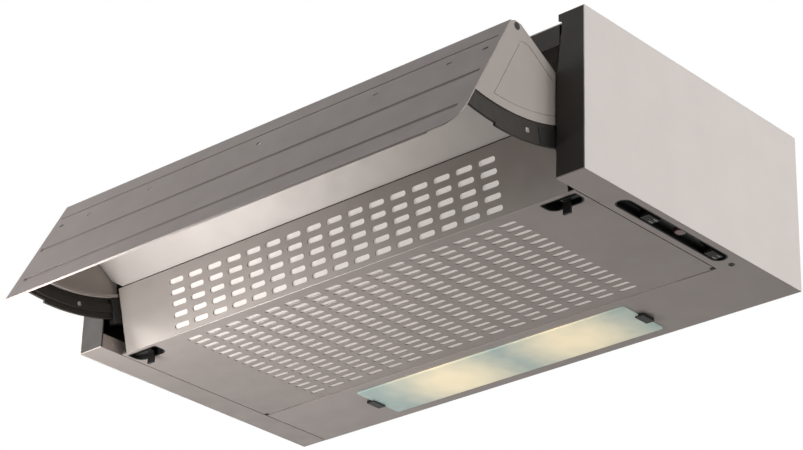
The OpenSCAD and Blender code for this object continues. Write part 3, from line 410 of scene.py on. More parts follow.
@dataclass(frozen=True)
class ClearRed(Finish):
    """Transparent red acrylic of the pilot lamp, with moulded rings inside."""

    pale: str = "#8a3a42"
    light: str = "#a02830"
    clear: float = 0.35
    index: float = 1.49
    ripple: float = 1.6
    rings: Span = (0.4, 0.6)
    depth: float = 0.15

    def pattern(self, surface: Surface) -> None:
        """Adds the rings and a little light inside.

        Args:
            surface: Tools of the material.
        """
        ripple = surface.noise(self.ripple, 2)
        surface.set({"Transmission Weight": self.clear, "IOR": self.index})
        surface.glow(self.light, strength=0.03)
        surface.paint(surface.between(ripple, self.rings), self.tint, self.pale)
        surface.bump(ripple, self.depth, strength=0.6)


@dataclass(frozen=True)
class FilterFelt(Finish):
    """Needled polyester grease mat: white, matt and woolly, a little greyer in its folds."""

    shade: str = "#bab4b0"
    light: str = "#efe9e5"
    fibre: float = 1.4
    lie: Point = (1, 0.3, 1)
    lump: float = 11.0
    sheen: float = 0.25
    depth: float = 0.5

    def pattern(self, surface: Surface) -> None:
        """Adds crossed fibres and soft lumps.

        Args:
            surface: Tools of the material.
        """
        surface.paint(surface.between(surface.noise(self.lump, 3), WIDE), self.shade, self.tint)
        surface.set({"Sheen Weight": self.sheen})
        # stands for light that the open fleece scatters through itself
        surface.glow(self.light, strength=0.42)
        surface.bump(surface.noise(self.fibre, 5, self.lie), self.depth, strength=0.8)


# The copies of the silver paint below differ in gloss and metal, and their tints are set part by part to how
# light falls on each part: painted light and shade.
COAT = SatinCoat("satin_silver_coat", "silver_paint", "#a69c97", 0.37, 0.38, 0.1, cloud="#a19792")
# A paler tint of the silver paint for the underside frame, which stands for the brighter light on it: painted
# light.
FRAME_LIT_COAT = SatinCoat("frame_lit_silver_coat", "silver_paint", "#c2b7b2", 0.4, 0.15, 0.1, cloud="#bdb2ad")
VISOR_COAT = SatinCoat("visor_silver_coat", "silver_paint", "#b0a5a1", 0.42, 0.0, 0.02, 0.28, cloud="#aba09c")
PALE_COAT = SatinCoat("pale_grey_coat", "pale_paint", "#dcd5d1", 0.45, 0.0, 0.06, cloud="#d8d1cd")
# The side, top and back panels keep the silver paint's slot but take PALE_COAT's pale tint, which stands for
# the bright light on the side panel: painted light.
SIDE_LIT_COAT = replace(PALE_COAT, slot="silver_paint")
BAFFLE_COAT = SatinCoat("baffle_silver_coat", "pale_paint", "#aba5a1", 0.52, 0.38, 0.1, cloud="#a6a09c")
FRONT_COAT = SatinCoat("front_silver_coat", "silver_paint", "#aca5a0", 0.45, 0.38, 0.1, cloud="#a7a09b")
# Dark paint for the inner walls, crossbar, bulkhead and grille hinge brackets, which stands for the shade
# inside the body: painted shade.
INTERIOR_SHADE_COAT = SatinCoat("interior_shade_coat", "dark_paint", "#3e3a36", 0.55, 0.0, 0.0, 0.3, cloud="#393532")
POST_COAT = SatinCoat("post_dark_coat", "dark_paint", "#3a3632", 0.55, 0.0, 0.0, 0.3, cloud="#35312e")
RAIL = DrawnSteel("drawn_rail_steel", "rail_steel", "#2d2926", 0.5, 0.05, 0.0, 0.2, pale="#38332f")
CHEEK = MouldedPlastic("moulded_grey_abs", "grey_plastic", "#a79f99", 0.5, rub="#afa7a0")
BLACK = MouldedPlastic("black_nylon", "black_plastic", "#171615", 0.42, 0.0, 0.0, 0.35, rub="#1f1e1d")
DARK = MouldedPlastic("dark_grey_abs", "dark_plastic", "#2f2d2b", 0.5, rub="#383633")
WHITE = MouldedPlastic("white_polycarbonate", "white_plastic", "#e6e2d8", 0.4, rub="#dcd6c8")
# Pale bars on the slider knobs that stand for their glints: painted highlights.
GLINT_MARK = MouldedPlastic("white_glint_paint", "white_plastic", "#e8e6e0", 0.45, rub="#f2f0ea", depth=0.0)
BRIGHT = PlatedSteel("nickel_plated_steel", "bright_steel", "#c6c4c0", 0.3, 0.9)
SCREW = PlatedSteel("zinc_plated_screw", "screw_steel", "#b4b2ae", 0.34, 0.85)
BLACK_SCREW = PlatedSteel("blackened_screw", "screw_steel", "#26252a", 0.35, 0.6, dull="#1b1b1d")
ALLOY = CastAlloy("cast_aluminium", "cast_alloy", "#a9abad", 0.45, 0.75)
GLASS = FrostedGlass("frosted_lamp_glass", "frosted_glass", "#a5bbb6", 0.35, 0.0, 0.2)
BULB = BulbGlass("frosted_bulb_glass", "bulb_glass", "#f8efd8", 0.35)
RED = ClearRed("clear_red_acrylic", "red_plastic", "#6a1c22", 0.16, 0.0, 0.5)
FELT = FilterFelt("needled_felt", "filter_fabric", "#cbc6c2", 0.95)


# Mesh tools: pieces, rounded edges and plain shading.


def finish_piece(piece: Object, body: Body, finish: Finish, nodes: Iterable[str] = ()) -> Object:
    """Gives a piece its material and body, and lets it stand for its CAD nodes.

    Args:
        piece: Finished object at the origin.
        body: Body that it moves with.
        finish: Its surface.
        nodes: CAD nodes that it replaces.

    Returns:
        The same piece.
    """
    if not piece.data.materials:
        piece.data.materials.append(finish.material())
    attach(piece, body.value)
    if nodes:
        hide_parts(*nodes)
    LOG.info("%s: %d faces on %s", piece.name, len(piece.data.polygons), body.value)
    return piece


def placed(name: str, data: bpy.types.ID) -> Object:
    """Makes an object of the data and links it to the scene.

    Args:
        name: Name of the object.
        data: Its mesh, lamp or camera.

    Returns:
        The object.
    """
    made = bpy.data.objects.new(name, data)
    bpy.context.scene.collection.objects.link(made)
    return made


def new_piece(name: str, mesh: BMesh, sharp: float = 30.0) -> Object:
    """Makes an object of a bmesh, smooth except along its sharp edges.

    Args:
        name: Name of the piece.
        mesh: Its mesh, freed here.
        sharp: Edges that turn by more degrees stay sharp.

    Returns:
        The new object, linked to the scene.
    """
    for face in mesh.faces:
        face.smooth = True
    for edge in mesh.edges:
        edge.smooth = len(edge.link_faces) == 2 and edge.calc_face_angle(0) < math.radians(sharp)
    data = bpy.data.meshes.new(name)
    mesh.to_mesh(data)
    mesh.free()
    return placed(name, data)


def soften(piece: Object, width: float, steps: int = 2, angle: float = 30.0) -> None:
    """Rounds a piece's sharp edges with a bevel.

    Args:
        piece: Piece to round.
        width: Width of the bevel in millimetres.
        steps: Faces across it.
        angle: Edges that turn by fewer degrees stay as they are.
    """
    bevel = piece.modifiers.new("soft_edges", "BEVEL")
    bevel.width = width * MM
    bevel.segments = steps
    bevel.limit_method = "ANGLE"
    bevel.angle_limit = math.radians(angle)
    bevel.miter_outer = "MITER_ARC"
    settle(piece)


def settle(piece: Object) -> None:
    """Turns a piece's modifiers into plain mesh.

    Args:
        piece: Piece with live modifiers.
    """
    graph = bpy.context.evaluated_depsgraph_get()
    data = bpy.data.meshes.new_from_object(piece.evaluated_get(graph), depsgraph=graph)
    data.name = piece.name
    piece.modifiers.clear()
    piece.data = data


def dressed(node: str, body: Body, finish: Finish, width: float, steps: int = 2) -> Object:
    """Copies a CAD node as one merged mesh with rounded edges, which stands for the node.

    Args:
        node: Name of the CAD node.
        body: Body that it rides on.
        finish: Its surface.
        width: Width of the rounding in millimetres, or zero for none.
        steps: Faces across the rounding.

    Returns:
        The finished piece.
    """
    mesh = bmesh.new()
    mesh.from_mesh(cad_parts[node].data)
    bmesh.ops.remove_doubles(mesh, verts=mesh.verts, dist=WELD)
    bmesh.ops.dissolve_limit(mesh, angle_limit=math.radians(FLAT_ANGLE), verts=mesh.verts, edges=mesh.edges)
    piece = new_piece(f"{node}_piece", mesh)
    if width:
        soften(piece, width, steps)
        weigh(piece)
    return finish_piece(piece, body, finish, [node])


def shade(piece: Object, sharp: float = 32.0) -> None:
    """Shades a piece smooth, except along edges that turn by more than so many degrees."""
    piece.data.polygons.foreach_set("use_smooth", [True] * len(piece.data.polygons))
    piece.data.set_sharp_from_angle(angle=math.radians(sharp))


def weigh(piece: Object, sharp: float = 32.0) -> None:
    """Shades a piece by its large faces, so that flat sheets stay flat up to their rounded edges.

    Args:
        piece: Piece to shade.
        sharp: Edges that turn by more degrees stay sharp.
    """
    shade(piece, sharp)
    weighted = piece.modifiers.new("flat_sheets", "WEIGHTED_NORMAL")
    weighted.mode = "FACE_AREA"
    weighted.weight = 100
    weighted.keep_sharp = True
    settle(piece)


def box(mesh: BMesh, low: Point, high: Point) -> list[BMVert]:
    """Adds a block between two corners, in millimetres from the front plane.

    Args:
        mesh: Mesh that gets the block.
        low: Lowest corner.
        high: Highest corner.

    Returns:
        The block's eight points.
    """
    across, back, up = zip(low, high)
    verts = [mesh.verts.new(front(x, y, z)) for x in across for y in back for z in up]
    for ring in ((0, 1, 3, 2), (4, 6, 7, 5), (0, 4, 5, 1), (2, 3, 7, 6), (0, 2, 6, 4), (1, 5, 7, 3)):
        mesh.faces.new([verts[i] for i in ring])
    return verts


# Repeated shapes, made by Geometry Nodes.


class Tree:
    """A Geometry Nodes tree with named inputs, run once on points and turned into plain mesh."""

    def __init__(self, name: str, sizes: dict[str, float]) -> None:
        """Starts the tree and its interface.

        Args:
            name: Name of the tree.
            sizes: Named inputs, in metres or radians.
        """
        self.group = bpy.data.node_groups.new(name, "GeometryNodeTree")
        face = self.group.interface
        face.new_socket("Geometry", in_out="INPUT", socket_type="NodeSocketGeometry")
        face.new_socket("Geometry", in_out="OUTPUT", socket_type="NodeSocketGeometry")
        self.values: dict[str, float] = {}
        for key, value in sizes.items():
            socket = face.new_socket(key, in_out="INPUT", socket_type="NodeSocketFloat")
            socket.default_value = value
            self.values[socket.identifier] = value
        self.start = add(self.group, "NodeGroupInput").outputs

    def size(self, key: str) -> NodeSocket:
        """Gives the socket of a named input."""
        return self.start[key]

    def node(self, kind: str, inputs: dict, **settings: object) -> NodeSocket:
        """Adds a node to the tree, and gives its first output."""
        return add(self.group, kind, inputs, **settings).outputs[0]

    def ring(self, path: NodeSocket, sides: int, radius: str) -> NodeSocket:
        """Turns a closed curve into a thin round wire.

        Args:
            path: The curve.
            sides: Sides of the wire.
            radius: Named input with its radius.

        Returns:
            The wire's mesh.
        """
        section = {"Resolution": sides, "Radius": self.size(radius)}
        wall = self.node("GeometryNodeCurvePrimitiveCircle", section)
        return self.node("GeometryNodeCurveToMesh", {"Curve": path, "Profile Curve": wall})

    def scatter(self, shape: NodeSocket, finish: Finish) -> None:
        """Sets a shape on every point, and ends the tree in Realize Instances and Set Material.

        Args:
            shape: Mesh of the shape, turned about X by the input Tilt.
            finish: Its surface.
        """
        turn = self.node("ShaderNodeCombineXYZ", {"X": self.size("Tilt")})
        points = self.node("GeometryNodeMeshToPoints", {"Mesh": self.start[0]})
        many = {"Points": points, "Instance": shape, "Rotation": turn}
        real = self.node("GeometryNodeRealizeInstances", {0: self.node("GeometryNodeInstanceOnPoints", many)})
        painted = self.node("GeometryNodeSetMaterial", {"Geometry": real, "Material": finish.material()})
        add(self.group, "NodeGroupOutput", {0: painted})

    def run(self, name: str, points: Sequence[Vector]) -> Object:
        """Runs the tree on points and makes the result plain mesh.

        Args:
            name: Name of the piece.
            points: Places of the repeated shapes.

        Returns:
            The piece, without modifiers.
        """
        data = bpy.data.meshes.new(name)
        data.from_pydata([tuple(p) for p in points], [], [])
        piece = placed(name, data)
        modifier = piece.modifiers.new(name, "NODES")
        modifier.node_group = self.group
        for key, value in self.values.items():
            modifier[key] = value
        settle(piece)
        shade(piece)
        return piece


# Studio: camera, surround, lamps and floor, in metres.


@dataclass(frozen=True)
class Lamp:
    """A square area lamp that faces the hood, which the camera doesn't see."""

    name: str
    place: Point
    size: float
    power: float
    tint: str = WHITE_LIGHT
    aim: Point = (0, -0.2, 0.06)

    def build(self) -> None:
        """Adds the lamp."""
        data = bpy.data.lights.new(self.name, "AREA")
        data.size = self.size
        data.energy = self.power
        data.color = linear(self.tint)[:3]
        lamp = placed(self.name, data)
        ahead = Vector(self.aim) - Vector(self.place)
        lamp.rotation_euler = ahead.to_track_quat("-Z", "Y").to_euler()
        lamp.location = self.place
        lamp.visible_camera = False


@dataclass
class Studio:
    """Camera at the photograph's angle, soft lights, a white surround and a pale floor."""

    eye: Point = (1.42328, -1.71991, -0.93738)
    right: Point = (0.74117138, 0.67077441, 0.02695682)
    down: Point = (-0.27681129, 0.34195169, -0.89802258)
    ahead: Point = (-0.6115885, 0.65812669, 0.43912273)
    lens: float = 115.81
    ambient: float = 0.1
    floor_tint: str = "#eeecea"
    floor_z: float = -6.0
    floor_level: float = 0.85
    floor_half: float = 40.0
    lamps: tuple[Lamp, ...] = (
        Lamp("left_end", (-0.26, -0.46, -0.16), 0.15, 1.3),
        Lamp("left_top", (-1.0, -0.9, 0.35), 0.4, 5.1),
        Lamp("left_rear", (-1.1, 0.65, -0.45), 0.5, 0.3),
        Lamp("left_side", (-2.0, 0.35, 0.35), 1.2, 16.0),
        Lamp("right_front", (2.0, -0.15, 0.35), 1.2, 15.8, "#fffefd"),
        Lamp("right_rear", (2.0, 0.6, 0.0), 1.0, 11.5, "#fffefd"),
        Lamp("top_rear", (-0.6, 2.0, 1.2), 1.6, 24.0, "#ffffff"),
    )

    def build(self) -> None:
        """Makes the camera, the surround, the lamps and the floor."""
        self.camera()
        self.surround()
        for lamp in self.lamps:
            lamp.build()
        self.floor()

    def camera(self) -> None:
        """Adds the camera from the measured axes of the photograph."""
        data = bpy.data.cameras.new("photo_camera")
        data.lens = self.lens
        data.sensor_width = 36.0
        data.clip_start = 0.05
        data.clip_end = 60.0
        camera = placed("photo_camera", data)
        axes = (Vector(self.right), -Vector(self.down), -Vector(self.ahead))
        turn = Matrix([axis.normalized() for axis in axes]).transposed().to_4x4()
        camera.matrix_world = Matrix.Translation(self.eye) @ turn
        bpy.context.scene.camera = camera
        bpy.context.scene.view_settings.view_transform = "Standard"

    @staticmethod
    def show(tree: NodeTree, lit: Node, shown: Node, end: str) -> None:
        """Shows one shader to the camera, in gloss and through glass, and lights the object with another.

        Args:
            tree: Tree of the world or of the floor.
            lit: Shader for the rays that light the object.
            shown: Shader for all the others.
            end: Kind of the output node.
        """
        rays = add(tree, "ShaderNodeLightPath").outputs
        seen = rays["Is Camera Ray"]
        for kind in ("Is Glossy Ray", "Is Transmission Ray"):
            seen = add(tree, "ShaderNodeMath", {0: seen, 1: rays[kind]}, operation="MAXIMUM").outputs[0]
        mixed = add(tree, "ShaderNodeMixShader", {0: seen, 1: lit.outputs[0], 2: shown.outputs[0]})
        add(tree, end, {"Surface": mixed.outputs[0]})

    def surround(self) -> None:
        """Shows white to the camera and in reflections, and lights the object with a plain grey."""
        world = bpy.data.worlds.new("soft_surround")
        world.use_nodes = True
        bpy.context.scene.world = world
        tree = world.node_tree
        tree.nodes.clear()
        dim = add(tree, "ShaderNodeBackground", {"Color": linear(WHITE_LIGHT), "Strength": self.ambient})
        white = add(tree, "ShaderNodeBackground", {"Color": (1, 1, 1, 1), "Strength": 1.0})
        self.show(tree, dim, white, "ShaderNodeOutputWorld")

    def floor(self) -> None:
        """Adds the pale floor far below the hood, as under a hood that hangs on its cabinet."""
        mesh = bmesh.new()
        bmesh.ops.create_grid(mesh, x_segments=2, y_segments=2, size=self.floor_half)
        bmesh.ops.translate(mesh, verts=mesh.verts, vec=(0, 0, self.floor_z))
        floor = new_piece("floor", mesh)
        material = bpy.data.materials.new("pale_floor")
        material.use_nodes = True
        tree = material.node_tree
        tree.nodes.clear()
        tint = linear(self.floor_tint)
        matt = add(tree, "ShaderNodeBsdfDiffuse", {"Color": tint})
        pale = add(tree, "ShaderNodeEmission", {"Color": tint, "Strength": self.floor_level})
        self.show(tree, matt, pale, "ShaderNodeOutputMaterial")
        floor.data.materials.append(material)


# Sub-assemblies: one class for each.


@dataclass(frozen=True)
class Look:
    """How CAD nodes that keep their own shape are dressed. Their names have blanks between them."""

    finish: Finish
    edge: float
    nodes: str
    steps: int = 2
    body: Body | None = None


Looks = tuple[Look, ...]


@dataclass
class Assembly:
    """Parts that are dressed together, on one body where a look doesn't name another."""

    body: Body = Body.HOOD
    looks: Looks = ()

    def build(self) -> None:
        """Dresses every part."""
        for look in self.looks:
            for node in look.nodes.split():
                dressed(node, look.body or self.body, look.finish, look.edge, look.steps)


@dataclass
class SheetBody(Assembly):
    """Painted sheet body: panels, posts, underside frame and the motor chamber's sheets."""

    looks: Looks = (
        # the panels' pale tint is painted light on the one silver paint
        Look(SIDE_LIT_COAT, 0.3, "right_side_panel left_side_panel top_panel back_panel"),
        Look(POST_COAT, 0.3, "right_front_post left_front_post"),
        # inner walls, crossbar and bulkhead are painted dark for the shade inside the body: painted shade
        Look(INTERIOR_SHADE_COAT, 0.2, "right_inner_wall left_inner_wall front_crossbar front_bulkhead"),
        # the underside frame's paler tint is painted light
        Look(FRAME_LIT_COAT, 0.3, "underside_frame"),
        Look(COAT, 0.3, "left_bottom_strip"),
        # the hinge brackets are painted dark for the same shade inside the body: painted shade
        Look(INTERIOR_SHADE_COAT, 0.15, "grille_hinge_brackets"),
    )


@dataclass
class Visor(Assembly):
    """The pull out visor: pressed panel, moulded cheeks, steel rails and the baffle plate between them."""

    half: float = 268.5
    foot: float = 10.2
    head: float = 140.0
    thick: float = 1.0
    cheek: float = 2.5
    turn: float = 27.6
    pivot: Span = (-65.5, 244.8)
    corner_right: float = 20.0
    corner_left: float = 2.0
    corner_steps: tuple[int, int] = (10, 3)
    grid: Span = (12.0, 9.0)
    grid_lines: tuple[int, int] = (19, 14)
    # each bead's lower and upper edge as shares of the height, and its gap at the ends
    beads: tuple[Point, ...] = ((0.153, 0.192, 11), (0.485, 0.522, 6), (0.842, 0.861, 5))
    bead_depth: float = 1.2
    bead_slope: float = 0.9
    slope_share: float = 0.45
    slots: tuple[float, ...] = (-0.95, -0.808, -0.507, 0, 0.507, 0.808, 0.95)
    slot_share: float = 0.75
    slot_reach: float = 1.7
    slot_r: float = 1.3
    slot_cut: Span = (-2.0, 3.0)
    dimples: tuple[float, ...] = (-0.97, -0.485, 0, 0.485, 0.97)
    dimple_share: float = 0.087
    dimple_r: float = 2.2
    dimple_wall: float = 0.35
    dimple_in: float = 0.28
    hem_gap: float = 14.0
    top_hem: Span = (0.4, 7.0)
    foot_hem: Span = (0.6, 2.0)
    foot_hem_h: float = 9.0
    edge: float = 0.25
    bevel_from: float = 45.0
    sharp: float = 40.0
    body: Body = Body.VISOR
    looks: Looks = (
        Look(CHEEK, 0.35, "right_cheek left_cheek", 3),
        Look(RAIL, 0.2, "right_rail left_rail"),
        Look(BAFFLE_COAT, 0.3, "baffle_plate", 3),
        Look(BLACK, 0.2, "cheek_plugs"),
        Look(BRIGHT, 0.2, "rail_rivets"),
        Look(BLACK, 0.1, "rail_glides"),
    )

    def build(self) -> None:
        """Makes the panel and dresses the other parts."""
        self.panel()
        super().build()

    def height(self, share: float) -> float:
        """Gives the height of a share of the panel, in the closed pose."""
        return self.foot + share * (self.head - self.foot)

    def opened(self, x: float, y: float, z: float) -> Vector:
        """Turns a point of the closed visor about its axis into the open pose at rest.

        Args:
            x: Place across the hood.
            y: Place behind the front plane, in the closed pose.
            z: Height above the underside, in the closed pose.

        Returns:
            The point in the frame's metres.
        """
        a = math.radians(-self.turn)
        dy, dz = y - self.pivot[0], z - self.pivot[1]
        return front(x, self.pivot[0] + dy * math.cos(a) - dz * math.sin(a),
                     self.pivot[1] + dy * math.sin(a) + dz * math.cos(a))

    def bead_spans(self) -> list[tuple[float, float, float, float]]:
        """Gives each bead's lower and upper height, the width of its slopes and its gap at the ends."""
        ends = [(self.height(low), self.height(high), gap) for low, high, gap in self.beads]
        return [(a, b, min(self.bead_slope, (b - a) * self.slope_share), gap) for a, b, gap in ends]

    def dent(self, x: float, z: float) -> float:
        """Gives how far the panel is pressed in at a place.

        Args:
            x: Place across the panel.
            z: Height in the closed pose.

        Returns:
            Depth in millimetres.
        """
        def step(value: float) -> float:
            """Runs smoothly from zero to one."""
            value = min(max(value, 0.0), 1.0)
            return value * value * (3 - 2 * value)
        deep = 0.0
        for a, b, slope, end in self.bead_spans():
            inside = step((z - a) / slope) * step((b - z) / slope)
            along = step((self.half - end - abs(x)) / self.bead_slope)
            deep = max(deep, self.bead_depth * inside * along)
        return deep

    def stations(self) -> tuple[list[float], list[float]]:
        """Gives the grid lines across and up the panel: a plain grid, with more at beads and corners.

        Returns:
            Places across the panel, and heights in the closed pose.
        """
        quarters = [i / 4 for i in range(5)]
        (pitch_x, pitch_z), (columns, rows) = self.grid, self.grid_lines
        across = {i * pitch_x for i in range(columns + 1)}
        up = {self.head} | {self.foot + i * pitch_z for i in range(rows + 1)}
        for radius, steps in zip((self.corner_right, self.corner_left), self.corner_steps):
            for i in range(steps + 1):
                a = math.pi * i / (2 * steps)
                across.add(self.half - radius * (1 - math.sin(a)))
                up.add(self.foot + radius * (1 - math.cos(a)))
        for a, b, slope, end in self.bead_spans():
            across |= {self.half - end - self.bead_slope * q for q in quarters}
            up |= {a + slope * q for q in quarters} | {b - slope * q for q in quarters}
        lines = sorted(across)
        lines = [-x for x in reversed(lines[1:])] + lines
        return self.thinned(lines), self.thinned(sorted(up))

    @staticmethod
    def thinned(values: list[float], gap: float = 0.2) -> list[float]:
        """Drops grid lines that lie too close to the one before.

        Args:
            values: Places of the lines, in order.
            gap: Closest that two lines may lie.

        Returns:
            The lines that stay.
        """
        out = [values[0]]
        for value in values[1:-1]:
            if value - out[-1] > gap:
                out.append(value)
        if values[-1] - out[-1] <= gap:
            out.pop()
        return out + values[-1:]

    def pressed(self, x: float, z: float, offset: float) -> Vector:
        """Gives a point of the pressed sheet, pulled in where the bottom corners are rounded.

        Args:
            x: Place across the panel.
            z: Height in the closed pose.
            offset: Distance behind the front face.

        Returns:
            The point in the open pose.
        """
        radius = self.corner_right if x > 0 else self.corner_left
        drop = max(radius - (z - self.foot), 0.0)
        edge = self.half - radius + math.sqrt(max(radius ** 2 - drop ** 2, 0.0))
        return self.opened(math.copysign(min(abs(x), edge), x), offset + self.dent(x, z), z)

    def sheet(self) -> BMesh:
        """Builds the pressed sheet with its beads and rounded corners, as one closed mesh.

        Returns:
            The mesh, in the open pose.
        """
        lines, rows = self.stations()
        mesh = bmesh.new()
        a, b = ([[mesh.verts.new(self.pressed(x, z, offset)) for x in lines] for z in rows]
                for offset in (0.0, self.thick))
        last_z, last_x = len(rows) - 1, len(lines) - 1
        for skin, order in ((a, 1), (b, -1)):
            for j in range(last_z):
                for i in range(last_x):
                    ring = [skin[j][i], skin[j][i + 1], skin[j + 1][i + 1], skin[j + 1][i]]
                    mesh.faces.new(ring[::order])
        for i in range(last_x):
            mesh.faces.new([a[0][i + 1], a[0][i], b[0][i], b[0][i + 1]])
            mesh.faces.new([a[last_z][i], a[last_z][i + 1], b[last_z][i + 1], b[last_z][i]])
        for j in range(last_z):
            mesh.faces.new([a[j][0], a[j + 1][0], b[j + 1][0], b[j][0]])
            mesh.faces.new([a[j + 1][last_x], a[j][last_x], b[j][last_x], b[j + 1][last_x]])
        bmesh.ops.remove_doubles(mesh, verts=mesh.verts, dist=SHEET_WELD)
        bmesh.ops.dissolve_degenerate(mesh, edges=mesh.edges, dist=SLIVER)
        return mesh

    def panel(self) -> None:
        """Makes the panel: sheet, fixing slots, hems, rounded edges and dimples."""
        piece = new_piece("visor_panel_piece", self.sheet(), self.sharp)
        cutter = self.cutter()
        cut = piece.modifiers.new("fixing_slots", "BOOLEAN")
        cut.object = cutter
        cut.solver = "EXACT"
        settle(piece)
        bpy.data.objects.remove(cutter)
        folds = bmesh.new()
        folds.from_mesh(piece.data)
        reach = self.half - self.cheek - self.hem_gap
        near, far = self.top_hem
        self.fold(folds, (-reach, near, self.head - self.thick), (reach, far, self.head))
        near, far = self.foot_hem
        side = self.half - self.corner_right
        self.fold(folds, (-side, near, self.foot), (side - self.hem_gap, far, self.foot + self.foot_hem_h))
        folds.to_mesh(piece.data)
        folds.free()
        soften(piece, self.edge, angle=self.bevel_from)
        weigh(piece, self.sharp)
        finish_piece(piece, Body.VISOR, VISOR_COAT, ["visor_panel"])
        self.dimple_caps()

    def fold(self, mesh: BMesh, low: Point, high: Point) -> None:
        """Adds a folded strip behind the panel, turned into the open pose.

        Args:
            mesh: Mesh that gets the strip.
            low: Its lowest corner in the closed pose.
            high: Its highest corner.
        """
        for vert in box(mesh, low, high):
            x, y, z = (c / MM for c in vert.co)
            vert.co = self.opened(x, y + DEPTH, z)

    def cutter(self) -> Object:
        """Makes the tool that cuts the fixing slots.

        Returns:
            An object with one block for each slot.
        """
        mesh = bmesh.new()
        for share in self.slots:
            x0, z0 = share * self.half, self.height(self.slot_share)
            ring = []
            for end in (1, -1):
                for i in range(9):
                    a = math.radians(-90 + 22.5 * i)
                    ring.append((x0 + end * (self.slot_reach + self.slot_r * math.cos(a)),
                                 z0 + end * self.slot_r * math.sin(a)))
            near, far = ([mesh.verts.new(self.opened(x, y, z)) for x, z in ring] for y in self.slot_cut)
            mesh.faces.new(near)
            mesh.faces.new(far[::-1])
            for i in range(len(ring)):
                j = (i + 1) % len(ring)
                mesh.faces.new([near[j], near[i], far[i], far[j]])
        bmesh.ops.recalc_face_normals(mesh, faces=mesh.faces)
        return new_piece("slot_cutter", mesh)

    def dimple_caps(self) -> None:
        """Adds the spot weld dimples along the panel's foot, as shallow pressed rings."""
        sizes = {"Radius": self.dimple_r * MM, "Wall": self.dimple_wall * MM}
        tree = Tree("pressed_dimples", {**sizes, "Tilt": math.radians(90 - self.turn)})
        rim = {"Resolution": 20, "Radius": tree.size("Radius")}
        path = tree.node("GeometryNodeCurvePrimitiveCircle", rim)
        tree.scatter(tree.ring(path, 6, "Wall"), VISOR_COAT)
        z = self.height(self.dimple_share)
        places = [self.opened(share * self.half, self.dimple_in, z) for share in self.dimples]
        finish_piece(tree.run("visor_dimples", places), Body.VISOR, VISOR_COAT)


